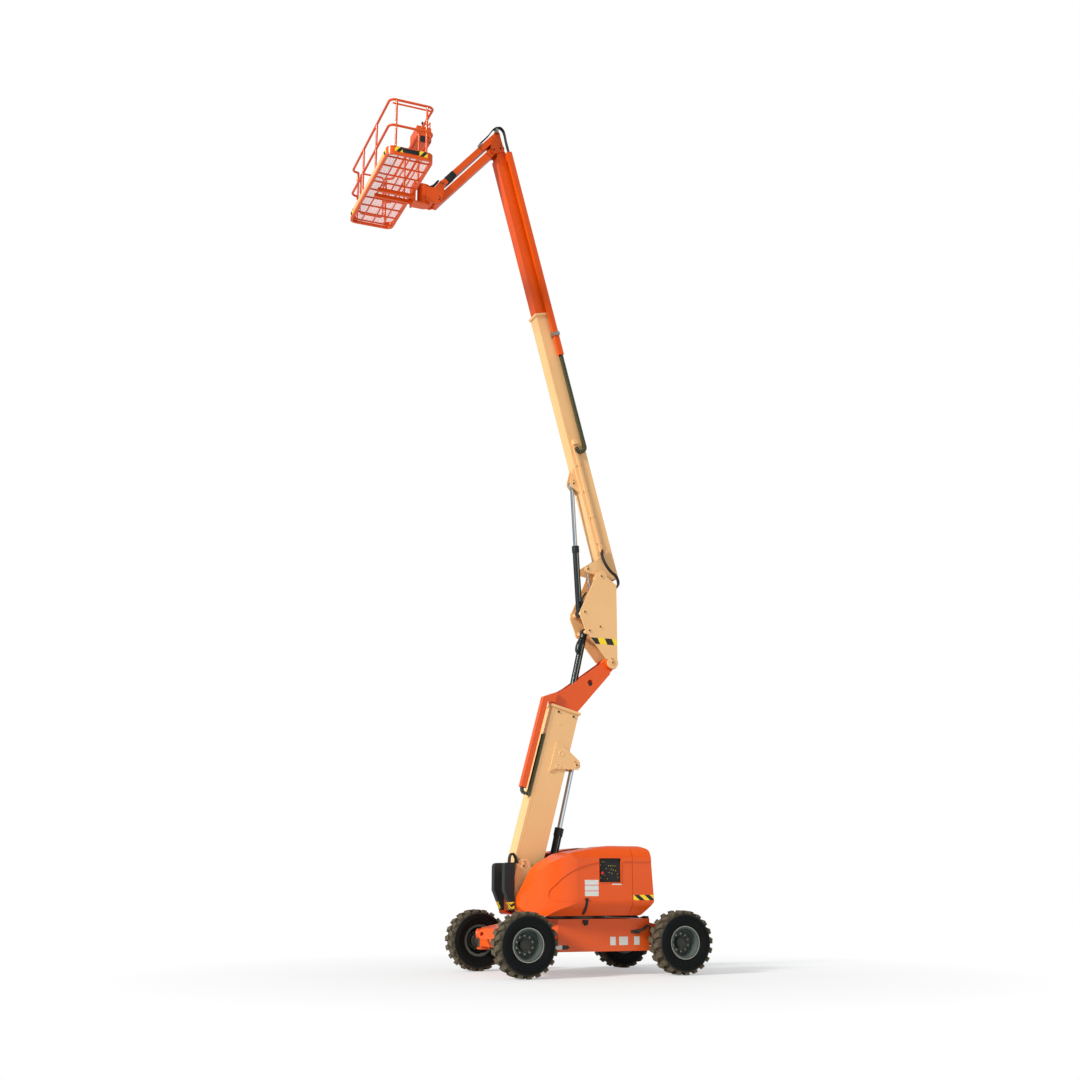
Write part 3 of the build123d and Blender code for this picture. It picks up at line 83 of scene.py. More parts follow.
def coated(name, look):
    # Base tone that drifts slowly over the panel, road dust near the ground, fine texture in the gloss
    material, tree, shader = newMaterial(name)
    place = addNode(tree, "ShaderNodeTexCoord").outputs["Object"]
    drift = addNode(tree, "ShaderNodeTexNoise", {"Scale": look["drift"], "Detail": 3.0}, {"Vector": place})
    tone = addNode(
        tree, "ShaderNodeMix", {6: linear(look["base"]), 7: linear(look["shade"])}, {0: drift.outputs[0]},
        data_type="RGBA",
    )
    height = addNode(tree, "ShaderNodeSeparateXYZ", None, {0: place})
    low = addNode(
        tree, "ShaderNodeMapRange", {1: look["dustTop"], 2: surface["dustFoot"], 3: 0.0, 4: look["dust"]},
        {0: height.outputs[2]},
    )
    spots = addNode(tree, "ShaderNodeTexNoise", {"Scale": surface["spots"], "Detail": 5.0}, {"Vector": place})
    film = addNode(
        tree, "ShaderNodeMath", None, {0: low.outputs[0], 1: spots.outputs[0]}, operation="MULTIPLY"
    )
    dusty = addNode(
        tree, "ShaderNodeMix", {7: linear(surface["dustTone"])}, {0: film.outputs[0], 6: tone.outputs[2]},
        data_type="RGBA",
    )
    tree.links.new(dusty.outputs[2], shader.inputs["Base Color"])
    dull = addNode(
        tree, "ShaderNodeMapRange",
        {3: look["rough"] - surface["smoother"], 4: look["rough"] + surface["duller"]}, {0: spots.outputs[0]},
    )
    tree.links.new(dull.outputs[0], shader.inputs["Roughness"])
    peel = addNode(tree, "ShaderNodeTexNoise", {"Scale": look["grain"], "Detail": 2.0}, {"Vector": place})
    relief = addNode(
        tree, "ShaderNodeBump", {"Strength": look["relief"], "Distance": surface["bump"]},
        {"Height": peel.outputs[0]},
    )
    tree.links.new(relief.outputs[0], shader.inputs["Normal"])
    shader.inputs["Metallic"].default_value = look["metal"]
    shader.inputs["IOR"].default_value = surface["ior"]
    shader.inputs["Specular IOR Level"].default_value = surface["gleam"]
    shader.inputs["Coat Weight"].default_value = look["coat"]
    shader.inputs["Coat Roughness"].default_value = surface["coatRough"]
    return material


printedFilm = dict(light="#f4cf1d", dark="#1b1a16", darkFrom=0.5, wear=60.0, rough=(0.35, 0.6), ior=1.46)


def banded(name, look):
    # Printed film with slanted bands of two colours, dulled a little by weather
    material, tree, shader = newMaterial(name)
    place = addNode(tree, "ShaderNodeTexCoord").outputs["Object"]
    slant = addNode(
        tree, "ShaderNodeVectorMath", {1: look["across"]}, {0: place}, operation="DOT_PRODUCT"
    )
    count = addNode(
        tree, "ShaderNodeMath", {1: 1 / look["pitch"]}, {0: slant.outputs["Value"]}, operation="MULTIPLY"
    )
    turn = addNode(tree, "ShaderNodeMath", None, {0: count.outputs[0]}, operation="FRACT")
    band = addNode(
        tree, "ShaderNodeMath", {1: printedFilm["darkFrom"]}, {0: turn.outputs[0]}, operation="GREATER_THAN"
    )
    colour = addNode(
        tree, "ShaderNodeMix", {6: linear(printedFilm["light"]), 7: linear(printedFilm["dark"])},
        {0: band.outputs[0]}, data_type="RGBA",
    )
    tree.links.new(colour.outputs[2], shader.inputs["Base Color"])
    wear = addNode(
        tree, "ShaderNodeTexNoise", {"Scale": printedFilm["wear"], "Detail": 4.0}, {"Vector": place}
    )
    bright, worn = printedFilm["rough"]
    dull = addNode(tree, "ShaderNodeMapRange", {3: bright, 4: worn}, {0: wear.outputs[0]})
    tree.links.new(dull.outputs[0], shader.inputs["Roughness"])
    shader.inputs["IOR"].default_value = printedFilm["ior"]
    return material


def tyreRubber(name, look):
    # Near-black sidewalls; towards the tread the rubber carries pale brown ground
    material, tree, shader = newMaterial(name)
    place = addNode(tree, "ShaderNodeTexCoord").outputs["Object"]
    parts = addNode(tree, "ShaderNodeSeparateXYZ", None, {0: place})
    side = addNode(tree, "ShaderNodeMath", None, {0: parts.outputs[0]}, operation="ABSOLUTE")
    run = addNode(tree, "ShaderNodeMath", {1: wheel["x"]}, {0: side.outputs[0]}, operation="SUBTRACT")
    rise = addNode(tree, "ShaderNodeMath", {1: wheel["z"]}, {0: parts.outputs[2]}, operation="SUBTRACT")
    arm = addNode(tree, "ShaderNodeCombineXYZ", None, {0: run.outputs[0], 2: rise.outputs[0]})
    radius = addNode(tree, "ShaderNodeVectorMath", None, {0: arm.outputs[0]}, operation="LENGTH")
    outer = addNode(
        tree, "ShaderNodeMapRange", {1: look["clean"], 2: look["worn"]}, {0: radius.outputs["Value"]}
    )
    spots = addNode(tree, "ShaderNodeTexNoise", {"Scale": look["spots"], "Detail": 6.0}, {"Vector": place})
    rubbed = addNode(
        tree, "ShaderNodeMath", None, {0: outer.outputs[0], 1: spots.outputs[0]}, operation="MULTIPLY"
    )
    film = addNode(tree, "ShaderNodeMath", {1: look["dust"]}, {0: rubbed.outputs[0]}, operation="MULTIPLY")
    tone = addNode(
        tree, "ShaderNodeMix", {6: linear(look["base"]), 7: linear(look["earth"])}, {0: film.outputs[0]},
        data_type="RGBA",
    )
    tree.links.new(tone.outputs[2], shader.inputs["Base Color"])
    wet, dry = look["rough"]
    dull = addNode(tree, "ShaderNodeMapRange", {3: wet, 4: dry}, {0: rubbed.outputs[0]})
    tree.links.new(dull.outputs[0], shader.inputs["Roughness"])
    grain = addNode(tree, "ShaderNodeTexNoise", {"Scale": look["grain"], "Detail": 3.0}, {"Vector": place})
    relief = addNode(
        tree, "ShaderNodeBump", {"Strength": look["relief"], "Distance": surface["bump"]},
        {"Height": grain.outputs[0]},
    )
    tree.links.new(relief.outputs[0], shader.inputs["Normal"])
    shader.inputs["IOR"].default_value = look["ior"]
    shader.inputs["Specular IOR Level"].default_value = look["gleam"]
    return material


wheel = dict(
    x=1.245, y=1.03, z=0.46, nuts=10, nutCircle=0.128, nutSize=0.016, nutFace=-0.01,
    hub=[(0, -0.004), (0.08, -0.004), (0.08, 0.006), (0.07, 0.012), (0.05, 0.013), (0, 0.013)], hubFace=0.049,
    hubBolts=8, hubCircle=0.062, hubBolt=0.007, hubBoltFace=0.012,
    flange=0.003, edge=(-0.016, -0.014, -0.003, -0.001), edgeRise=0.003,
    rings=[(0.262, 0.1625), (0.305, 0.171), (0.352, 0.173)], ring=(-0.006, -0.003, 0.003, 0.006),
    ringSunk=0.01, ringRise=0.004, sides=72,
)
looks = {
    # Sprayed enamel, baked: saturated orange with a wet sheen
    "orange_paint": dict(
        base="#e25408", shade="#d94d06", drift=2.0, dust=0.2, dustTop=0.9, rough=0.3, grain=420.0,
        relief=0.03, metal=0.0, coat=0.18,
    ),
    # Sprayed enamel, satin: warm sand that carries a soft sheen
    "beige_paint": dict(
        base="#ecba80", shade="#e3af75", drift=1.6, dust=0.3, dustTop=1.0, rough=0.42, grain=420.0,
        relief=0.03, metal=0.0, coat=0.12,
    ),
    # Sprayed enamel, near black with a green cast: cylinders and boxes read as dark shapes
    "dark_paint": dict(
        base="#1b2223", shade="#151b1c", drift=3.0, dust=0.3, dustTop=0.9, rough=0.4, grain=420.0,
        relief=0.03, metal=0.0, coat=0.1,
    ),
    # Ground and hard chromed rod: a narrow bright streak
    "rod_chrome": dict(
        base="#c9ced1", shade="#b8bdc0", drift=4.0, dust=0.0, dustTop=0.9, rough=0.13, grain=900.0,
        relief=0.01, metal=1.0, coat=0.0,
    ),
    # Sprayed wheel enamel: mid grey, dusty in the dish
    "grey_paint": dict(
        base="#46524f", shade="#3a4543", drift=5.0, dust=0.15, dustTop=0.9, rough=0.45, grain=420.0,
        relief=0.03, metal=0.0, coat=0.05,
    ),
    # Moulded plastic with a fine grain: dull black
    "black_plastic": dict(
        base="#1d1f1f", shade="#26292a", drift=8.0, dust=0.2, dustTop=0.9, rough=0.55, grain=700.0,
        relief=0.15, metal=0.0, coat=0.0,
    ),
    # Zinc-plated steel: soft grey metal
    "bare_steel": dict(
        base="#a9a79d", shade="#8f8d84", drift=14.0, dust=0.2, dustTop=0.9, rough=0.38, grain=300.0,
        relief=0.05, metal=0.9, coat=0.0,
    ),
    # Turned bearing steel under oil: dark and shiny
    "bearing_steel": dict(
        base="#6d6c68", shade="#54534f", drift=12.0, dust=0.3, dustTop=1.0, rough=0.35, grain=300.0,
        relief=0.05, metal=0.9, coat=0.0,
    ),
    # Extruded hose cover: soft black with a dull shine
    "hose_rubber": dict(
        base="#1b1d1b", shade="#252723", drift=10.0, dust=0.2, dustTop=0.9, rough=0.5, grain=500.0,
        relief=0.1, metal=0.0, coat=0.0,
    ),
    # Cast iron, brush painted: lumpy dark grey
    "engine_iron": dict(
        base="#4c4f4e", shade="#3d403f", drift=8.0, dust=0.3, dustTop=1.4, rough=0.6, grain=160.0,
        relief=0.3, metal=0.0, coat=0.0,
    ),
    # Printed film, blank: pale grey labels
    "label_film": dict(
        base="#d9d8d1", shade="#cdccc4", drift=20.0, dust=0.25, dustTop=0.9, rough=0.4, grain=500.0,
        relief=0.02, metal=0.0, coat=0.1,
    ),
    # Printed film, blank: safety yellow
    "yellow_film": dict(
        base="#f0c21c", shade="#e3b214", drift=20.0, dust=0.2, dustTop=0.9, rough=0.4, grain=500.0,
        relief=0.02, metal=0.0, coat=0.1,
    ),
    # Moulded red plastic: the two stop buttons
    "red_plastic": dict(
        base="#c8231a", shade="#b31c14", drift=20.0, dust=0.1, dustTop=0.9, rough=0.3, grain=500.0,
        relief=0.02, metal=0.0, coat=0.2,
    ),
    # Moulded nylon weathered to olive: chain links of the hose carrier
    "carrier_nylon": dict(
        base="#5c5a3a", shade="#48472f", drift=12.0, dust=0.2, dustTop=0.9, rough=0.55, grain=400.0,
        relief=0.1, metal=0.0, coat=0.0,
    ),
}
finish = {name: coated(name, look) for name, look in looks.items()}
# Moulded tyre rubber: blue-black sidewalls, tread lugs brown with dry earth
tyre = dict(
    base="#080b0b", earth="#7d7059", clean=0.39, worn=0.44, dust=0.9, spots=38.0, rough=(0.6, 0.92),
    grain=260.0, relief=0.2, ior=1.52, gleam=0.15,
)
finish["tyre_rubber"] = tyreRubber("tyre_rubber", tyre)
for slot in frame["record"]["subparts"]:
    node = frame["nodes"][slot["node"]]
    node.data.materials.clear()
    node.data.materials.append(finish[slot["material_slot"]])
frame["nodes"]["tower_hose_tray"].data.materials[0] = finish["carrier_nylon"]
print("materials on", len(frame["nodes"]), "CAD nodes")


def makePiece(name, shape, material, body, smooth=35):
    mesh = bpy.data.meshes.new(name)
    bmesh.ops.recalc_face_normals(shape, faces=shape.faces)
    shape.to_mesh(mesh)
    shape.free()
    mesh.polygons.foreach_set("use_smooth", [True] * len(mesh.polygons))
    mesh.set_sharp_from_angle(angle=math.radians(smooth))
    mesh.materials.append(material)
    piece = bpy.data.objects.new(name, mesh)
    bpy.context.scene.collection.objects.link(piece)
    if body:
        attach(piece, body)
    return piece


def addBrick(shape, centre, size, across=(1, 0, 0), up=(0, 0, 1), chamfer=0.002):
    x, z = Vector(across).normalized(), Vector(up).normalized()
    y = z.cross(x)
    turn = Matrix((x * size[0], y * size[1], z * size[2])).transposed().to_4x4()
    made = bmesh.ops.create_cube(shape, size=1, matrix=Matrix.Translation(centre) @ turn)
    edges = list(dict.fromkeys(e for v in made["verts"] for e in v.link_edges))
    if chamfer:
        bmesh.ops.bevel(shape, geom=edges, offset=chamfer, segments=2, affect="EDGES", profile=0.5)


def addTurned(shape, centre, axis, profile, sides=24):
    # profile: radius and height pairs along the axis; a radius of 0 closes that end
    turn = Vector((0, 0, 1)).rotation_difference(Vector(axis)).to_matrix()
    rings = []
    for radius, height in profile:
        ring = []
        for i in range(sides if radius > 0 else 1):
            a = 2 * math.pi * i / sides
            spot = turn @ Vector((radius * math.cos(a), radius * math.sin(a), height))
            ring.append(shape.verts.new(Vector(centre) + spot))
        rings.append(ring)
    for one, two in zip(rings, rings[1:]):
        for i in range(sides):
            j = i + 1
            quad = [one[i % len(one)], one[j % len(one)], two[j % len(two)], two[i % len(two)]]
            corners = list(dict.fromkeys(quad))
            if len(corners) > 2:
                shape.faces.new(corners)


def ridge(radii, low, high):
    # Profile of a raised ring: foot, crown, crown, foot
    return list(zip(radii, (low, high, high, low)))


bolt = dict(  # head and washer in bolt sizes, sunk in metres
    head=[(0, 0), (0.82, 0), (0.82, 0.6), (0.68, 0.72), (0, 0.72)], washer=0.12, sunk=0.001, sides=16,
)


def addBolt(shape, centre, axis, size):
    # Washer and chamfered hexagon head
    a = Vector(axis).normalized()
    low, high = -bolt["sunk"], bolt["washer"] * size
    addTurned(shape, centre, a, [(0, low), (size, low), (size, high), (0, high)], bolt["sides"])
    head = [(radius * size, height * size) for radius, height in bolt["head"]]
    addTurned(shape, Vector(centre) + a * high, a, head, 6)


def smoothPath(points, steps=6):
    # Points on a curve through the given ones
    spots = [Vector(p) for p in points]
    ends = [2 * spots[0] - spots[1], *spots, 2 * spots[-1] - spots[-2]]
    path = []
    for a, b, c, d in zip(ends, ends[1:], ends[2:], ends[3:]):
        for i in range(steps):
            t = i / steps
            bend = (2 * a - 5 * b + 4 * c - d) * t * t + (3 * b - a - 3 * c + d) * t ** 3
            path.append(0.5 * (2 * b + (c - a) * t + bend))
    return [*path, spots[-1]]


def addTube(shape, path, radius, sides=10):
    ahead = [(b - a).normalized() for a, b in zip(path, path[1:])]
    ahead.append(ahead[-1])
    side = ahead[0].orthogonal().normalized()
    rings = []
    for spot, way in zip(path, ahead):
        side = (side - way * side.dot(way)).normalized()
        other = way.cross(side)
        rings.append([
            shape.verts.new(spot + radius * (side * math.cos(a) + other * math.sin(a)))
            for a in [2 * math.pi * i / sides for i in range(sides)]
        ])
    for one, two in zip(rings, rings[1:]):
        for i in range(sides):
            shape.faces.new((one[i], one[(i + 1) % sides], two[(i + 1) % sides], two[i]))
    shape.faces.new(rings[0][::-1])
    shape.faces.new(rings[-1])


def axisFrame(origin, degrees):
    # Maps along, across and left of a boom to the shared frame
    way = Vector((math.cos(math.radians(degrees)), 0, math.sin(math.radians(degrees))))
    right = Vector((way.z, 0, -way.x))
    return way, right, lambda u, v, y: Vector((origin[0], y, origin[1])) + way * u + right * v


# Pins on the machine's middle plane: fixed ones in X and Z, then eyes along and across their boom
pivots = dict(
    tower=(0.945, 1.559), towerLift=(0.54, 0.965), upright=(-0.584, 4.734), boom=(-0.403, 6.143),
    mainLift=(-0.1, 5.53), level=(-0.18, 5.231), sensor=(-0.369, 5.305), jib=(1.5, 13.52),
    jibUpper=(1.4444, 13.8351), supportUpper=(2.4086, 12.6861),
)
onTower = axisFrame(pivots["tower"], 105)[2]
boomWay, boomRight, onBoom = axisFrame(pivots["boom"], 75)
jibWay, jibRight, onJib = axisFrame(pivots["jib"], -50)
eyes = dict(
    towerLift=onTower(1.713, -0.478, 0), level=onTower(1.8, -0.215, 0), mainLift=onBoom(1.623, 0.003, 0),
    sensor=onBoom(0.164, 0.179, 0), tip=onBoom(7.64, -0.205, 0), support=onJib(1.5, 0, 0),
)
left = Vector((0, 1, 0))
top = Vector((0, 0, 1))


def around(count, radius, start=0.0):
    # Spots on a circle in a wheel's plane
    turns = [2 * math.pi * (i + start) / count for i in range(count)]
    return [radius * Vector((math.cos(a), 0, math.sin(a))) for a in turns]


# Wheels: nuts, hub end, a pale steel ring on the rim's flange as painted highlight, and moulded rings on the
# outer sidewall
for row, x in (("front", 1), ("rear", -1)):
    for name, side in (("left", 1), ("right", -1)):
        body = f"wheel_{row}_{name}"
        out = left * side
        middle = Vector((x * wheel["x"], side * wheel["y"], wheel["z"]))
        steel = bmesh.new()
        for spot in around(wheel["nuts"], wheel["nutCircle"], 0.5):
            addBolt(steel, middle + spot + out * wheel["nutFace"], out, wheel["nutSize"])
        makePiece(f"{body}_nuts", steel, finish["bare_steel"], body)
        hub = bmesh.new()
        face = middle + out * wheel["hubFace"]
        addTurned(hub, face, out, wheel["hub"], 32)
        for spot in around(wheel["hubBolts"], wheel["hubCircle"]):
            addBolt(hub, face + spot + out * wheel["hubBoltFace"], out, wheel["hubBolt"])
        makePiece(f"{body}_hub", hub, finish["dark_paint"], body)
        # Pale steel ring round the rim's outer flange: a painted highlight, the bright ring where the flange
        # catches the light
        edge = bmesh.new()
        rim = [v.co - middle for v in frame["nodes"][f"rim_{row}_{name}"].data.vertices]
        outer = max(spot.dot(out) for spot in rim)
        flange = [spot for spot in rim if spot.dot(out) > outer - wheel["flange"]]
        radius = max(math.hypot(spot.x, spot.z) for spot in flange)
        band = ridge([radius + r for r in wheel["edge"]], -wheel["edgeRise"], wheel["edgeRise"])
        addTurned(edge, middle + out * outer, out, band, wheel["sides"])
        makePiece(f"{body}_edge", edge, finish["bare_steel"], body)
        rings = bmesh.new()
        for radius, reach in wheel["rings"]:
            radii = [radius + r for r in wheel["ring"]]
            band = ridge(radii, reach - wheel["ringSunk"], reach + wheel["ringRise"])
            addTurned(rings, middle, out, band, wheel["sides"])
        makePiece(f"{body}_rings", rings, finish["tyre_rubber"], body)
print("wheels")


def addFilm(shape, corners, out, thick=0.0008):
    # Flat film or plate: a polygon raised off its surface
    low = [shape.verts.new(Vector(c)) for c in corners]
    high = [shape.verts.new(Vector(c) + Vector(out) * thick) for c in corners]
    shape.faces.new(high)
    shape.faces.new(low[::-1])
    for i in range(len(corners)):
        j = (i + 1) % len(corners)
        shape.faces.new((low[i], low[j], high[j], high[i]))


def sideFilm(shape, corners, side, reach):
    # Film on an upright side face, from X and Z pairs
    addFilm(shape, [(x, side * reach, z) for x, z in corners], (0, side, 0))


def addLabel(shape, x, z, reach, side=1):
    # Upright rectangle of film, from its ends in X and Z
    sideFilm(shape, [(x[0], z[0]), (x[1], z[0]), (x[1], z[1]), (x[0], z[1])], side, reach)


def addBlocks(shape, blocks):
    # Square-set bricks: centre, size and chamfer of each
    for centre, size, chamfer in blocks:
        addBrick(shape, centre, size, chamfer=chamfer)


def hoseBundle(name, hose, body=None):
    # Like hoses side by side along Y, held at both ends
    shape = bmesh.new()
    for i in range(hose["count"]):
        shift = (i - (hose["count"] - 1) / 2) * hose["step"]
        route = [(x, y + shift, z) for x, y, z in hose["path"]]
        addTube(shape, smoothPath(route), hose["radius"])
    return makePiece(name, shape, finish["hose_rubber"], body)


# Pin ends: cap in the plates' paint with one dark bolt, and a keeper beside most of them
# Each: body, place in X and Z, half width over the plates, radius, way to the keeper if any, paint
pins = [
    ("tower_base", pivots["tower"], 0.225, 0.045, (0, 1), "beige_paint"),
    ("tower_base", eyes["towerLift"].xz, 0.17, 0.042, (0.6, 0.8), "beige_paint"),
    ("tower_fly", pivots["upright"], 0.215, 0.045, (0.3, 0.95), "beige_paint"),
    ("main_base", pivots["boom"], 0.215, 0.045, None, "beige_paint"),
    ("upright", pivots["mainLift"], 0.215, 0.035, None, "beige_paint"),
    ("upright", pivots["level"], 0.215, 0.032, None, "beige_paint"),
    ("upright", pivots["sensor"], 0.215, 0.02, None, "beige_paint"),
    ("main_base", eyes["sensor"].xz, 0.155, 0.024, (0, 1), "beige_paint"),
    ("main_base", eyes["mainLift"].xz, 0.078, 0.034, (0, 1), "beige_paint"),
    ("jib_head", eyes["tip"].xz, 0.135, 0.038, (0, 1), "orange_paint"),
    ("jib_head", pivots["jib"], 0.135, 0.032, (1, 0), "orange_paint"),
    ("jib_head", pivots["jibUpper"], 0.135, 0.032, (1, 0), "orange_paint"),
    ("support", eyes["support"].xz, 0.135, 0.032, (0, 1), "orange_paint"),
    ("support", pivots["supportUpper"], 0.135, 0.032, (1, 0), "orange_paint"),
]
pinEnd = dict(cap=0.9, edge=0.002, rise=0.004, bolt=0.014)  # cap in pin radii
keeper = dict(length=1.5, width=0.7, at=1.15, boltAt=1.5, thick=0.006, bolt=0.009)  # first four in pin radii
for index, (body, place, half, radius, way, paint) in enumerate(pins):
    caps, bolts = bmesh.new(), bmesh.new()
    for side in (1, -1):
        out = left * side
        face = Vector((place[0], side * half, place[1]))
        rim, edge, rise = radius * pinEnd["cap"], pinEnd["edge"], pinEnd["rise"]
        addTurned(caps, face, out, [(0, -edge), (rim, -edge), (rim, edge), (rim - edge, rise), (0, rise)])
        addBolt(bolts, face + out * rise, out, pinEnd["bolt"])
        if way:
            along = Vector((way[0], 0, way[1])).normalized()
            plate = (radius * keeper["length"], keeper["thick"], radius * keeper["width"])
            middle = face + along * radius * keeper["at"] + out * (rise + keeper["thick"] / 2)
            addBrick(caps, middle, plate, along, along.cross(out))
            spot = face + along * radius * keeper["boltAt"] + out * (rise + keeper["thick"])
            addBolt(bolts, spot, out, keeper["bolt"])
    makePiece(f"pin_caps_{index}", caps, finish[paint], body)
    makePiece(f"pin_bolts_{index}", bolts, finish["dark_paint"], body)
print("pins")

# Warning bands: black and yellow film, slanted as the photo shows
uprightBand = dict(
    corners=[(-0.201, 5.12), (-0.284, 5.02), (-0.668, 5.02), (-0.668, 5.12)], reach=0.2152,
    across=(1, 0, -0.45), pitch=0.25,
)
film = bmesh.new()
for side in (1, -1):
    sideFilm(film, uprightBand["corners"], side, uprightBand["reach"])
makePiece("upright_bands", film, banded("upright_band_film", uprightBand), "upright")

tailBand = dict(x=(-0.822, -0.49), z=(1.066, 1.142), reach=1.0112, across=(1, 0, -1.2), pitch=0.17)
film = bmesh.new()
for side in (1, -1):
    addLabel(film, tailBand["x"], tailBand["z"], tailBand["reach"], side)
makePiece("tail_bands", film, banded("tail_band_film", tailBand), "turntable")

nose = dict(
    foot=(1.145, 0.915), knee=(1.27, 1.21), low=0.08, high=0.42, y=(0.168, 0.277), side=0.2802, back=1.113,
    inset=0.002, across=(0.5, 1, 1), pitch=0.085,
)
film = bmesh.new()
foot, knee = [Vector((x, 0, z)) for x, z in (nose["foot"], nose["knee"])]
slope = knee - foot
facing = Vector((slope.z, 0, -slope.x)).normalized()
low, high = [foot + slope * t for t in (nose["low"], nose["high"])]
for side in (1, -1):
    inner, outer = [left * side * y for y in nose["y"]]
    addFilm(film, [low + inner, low + outer, high + outer, high + inner], facing)
    front = [(p.x - nose["inset"], p.z) for p in (low, high)]
    sideFilm(film, [*front, (nose["back"], high.z), (nose["back"], low.z)], side, nose["side"])
makePiece("nose_bands", film, banded("nose_band_film", nose), "turntable")

basket = dict(
    x=(2.9002, 3.6602), half=1.22, z=(12.425, 12.516), corner=0.112, run=0.16, gap=0.0002,
    across=(1, 1, 0.8), pitch=0.13,
)
film = bmesh.new()
low, high = basket["z"]
stretch = (basket["corner"], basket["corner"] + basket["run"])
for end in (1, -1):
    for x, way in zip(basket["x"], (1, -1)):
        if end > 0:
            addLabel(film, [x + way * t for t in stretch], basket["z"], basket["half"] + basket["gap"])
        one, two = [end * (basket["half"] - t) for t in stretch]
        face = x - way * basket["gap"]
        corners = [(face, one, low), (face, two, low), (face, two, high), (face, one, high)]
        addFilm(film, corners, (-way, 0, 0))
makePiece("basket_bands", film, banded("basket_band_film", basket), "platform")
print("bands")

# Blank plates: labels on the hood and the chassis and a board on the basket; a pale beige sheet on the
# basket's front is painted highlight
hoodLabels = dict(
    x=(0.075, 0.295), z=(1.125, 1.205, 1.285), height=0.07, reach=1.0112,
    stripX=(-0.30, -0.145), stripZ=(1.285, 1.302),
)
pale = bmesh.new()
for z in hoodLabels["z"]:
    addLabel(pale, hoodLabels["x"], (z, z + hoodLabels["height"]), hoodLabels["reach"])
addLabel(pale, hoodLabels["stripX"], hoodLabels["stripZ"], hoodLabels["reach"])
makePiece("hood_labels", pale, finish["label_film"], "hood_left")
chassisLabels = dict(spans=[(-0.30, -0.21), (-0.50, -0.355), (-0.69, -0.60)], z=(0.425, 0.545), reach=0.7802)
arrow = dict(middle=0.56, z=0.405, half=0.125, shoulder=0.08, height=0.03)


def arrowHalf(shape, way):
    # Half of the double arrow on the chassis side, pointing to the front or the rear
    middle, shoulder, tip = [arrow["middle"] + way * t for t in (0, arrow["shoulder"], arrow["half"])]
    low, high = arrow["z"] - arrow["height"], arrow["z"] + arrow["height"]
    corners = [(middle, low), (shoulder, low), (tip, arrow["z"]), (shoulder, high), (middle, high)]
    sideFilm(shape, corners, 1, chassisLabels["reach"])


pale, black = bmesh.new(), bmesh.new()
for span in chassisLabels["spans"]:
    addLabel(pale, span, chassisLabels["z"], chassisLabels["reach"])
arrowHalf(pale, 1)
makePiece("chassis_labels", pale, finish["label_film"], "chassis")
arrowHalf(black, -1)
makePiece("chassis_label_dark", black, finish["black_plastic"], "chassis")
basketBoard = dict(at=(3.285, 1.2225, 12.468), size=(0.27, 0.005, 0.075), highlightHalf=0.94)
board, front = bmesh.new(), bmesh.new()
addBrick(board, basketBoard["at"], basketBoard["size"], chamfer=0.001)
makePiece("basket_board", board, finish["dark_paint"], "platform")
# Pale beige sheet over the basket's orange front face: a painted highlight where the key light strikes it
half, face = basketBoard["highlightHalf"], basket["x"][1]
addFilm(front, [(face, -half, low), (face, half, low), (face, half, high), (face, -half, high)], (1, 0, 0))
makePiece("basket_front_painted_highlight", front, finish["beige_paint"], "platform")
print("labels")

# Ground controls: switches with their marks, a stop button and the window's lip
panel = dict(
    x=(-0.287, 0.058), z=(1.326, 1.661), face=0.985, mark=(0.01, 0.002, 0.008), markUp=0.016,
    switch=[
        (0, -0.001), (0.007, -0.001), (0.007, 0.004), (0.003, 0.006), (0.003, 0.016), (0.004, 0.02),
        (0, 0.021),
    ],
    stopAt=(0.006, 1.452),
    stop=[
        (0, -0.001), (0.012, -0.001), (0.012, 0.012), (0.024, 0.014), (0.025, 0.024), (0.018, 0.03),
        (0, 0.031),
    ],
)
# Back from the window's front edge and up from its foot
panel["switches"] = [
    (0.05, 0.27), (0.085, 0.27), (0.03, 0.225), (0.16, 0.215), (0.195, 0.215), (0.23, 0.215), (0.265, 0.215),
    (0.12, 0.175), (0.2, 0.165), (0.235, 0.155), (0.275, 0.145), (0.175, 0.12), (0.215, 0.11), (0.305, 0.1),
    (0.31, 0.05), (0.03, 0.04), (0.14, 0.03), (0.1, 0.075),
]
windowLip = dict(y=1.003, deep=0.032, thick=0.01, clear=0.008, over=0.022, chamfer=0.003)
marks, knobs, button, lip = bmesh.new(), bmesh.new(), bmesh.new(), bmesh.new()
for back, up in panel["switches"]:
    spot = Vector((panel["x"][1] - back, panel["face"], panel["z"][0] + up))
    addBrick(marks, spot + Vector((0, panel["mark"][1] / 2, panel["markUp"])), panel["mark"], chamfer=0)
    addTurned(knobs, spot, left, panel["switch"], 12)
addTurned(button, (panel["stopAt"][0], panel["face"], panel["stopAt"][1]), left, panel["stop"], 28)
midX, midZ = sum(panel["x"]) / 2, sum(panel["z"]) / 2
wide, tall = [span[1] - span[0] + windowLip["over"] for span in (panel["x"], panel["z"])]
for z in panel["z"]:
    middle = (midX, windowLip["y"], z + math.copysign(windowLip["clear"], z - midZ))
    addBrick(lip, middle, (wide, windowLip["deep"], windowLip["thick"]), chamfer=windowLip["chamfer"])
for x in panel["x"]:
    middle = (x + math.copysign(windowLip["clear"], x - midX), windowLip["y"], midZ)
    addBrick(lip, middle, (windowLip["thick"], windowLip["deep"], tall), chamfer=windowLip["chamfer"])
makePiece("panel_marks", marks, finish["yellow_film"], "turntable")
makePiece("panel_switches", knobs, finish["black_plastic"], "turntable")
makePiece("panel_stop", button, finish["red_plastic"], "turntable")
makePiece("window_lip", lip, finish["orange_paint"], "hood_left")


def onSkin(node, side):
    # Finds points of a side panel seen straight from the side
    mesh = frame["nodes"][node].data
    tree = BVHTree.FromPolygons([v.co for v in mesh.vertices], [p.vertices for p in mesh.polygons])
    return lambda x, z: tree.ray_cast(Vector((x, side * 2, z)), Vector((0, -side, 0)))[0]


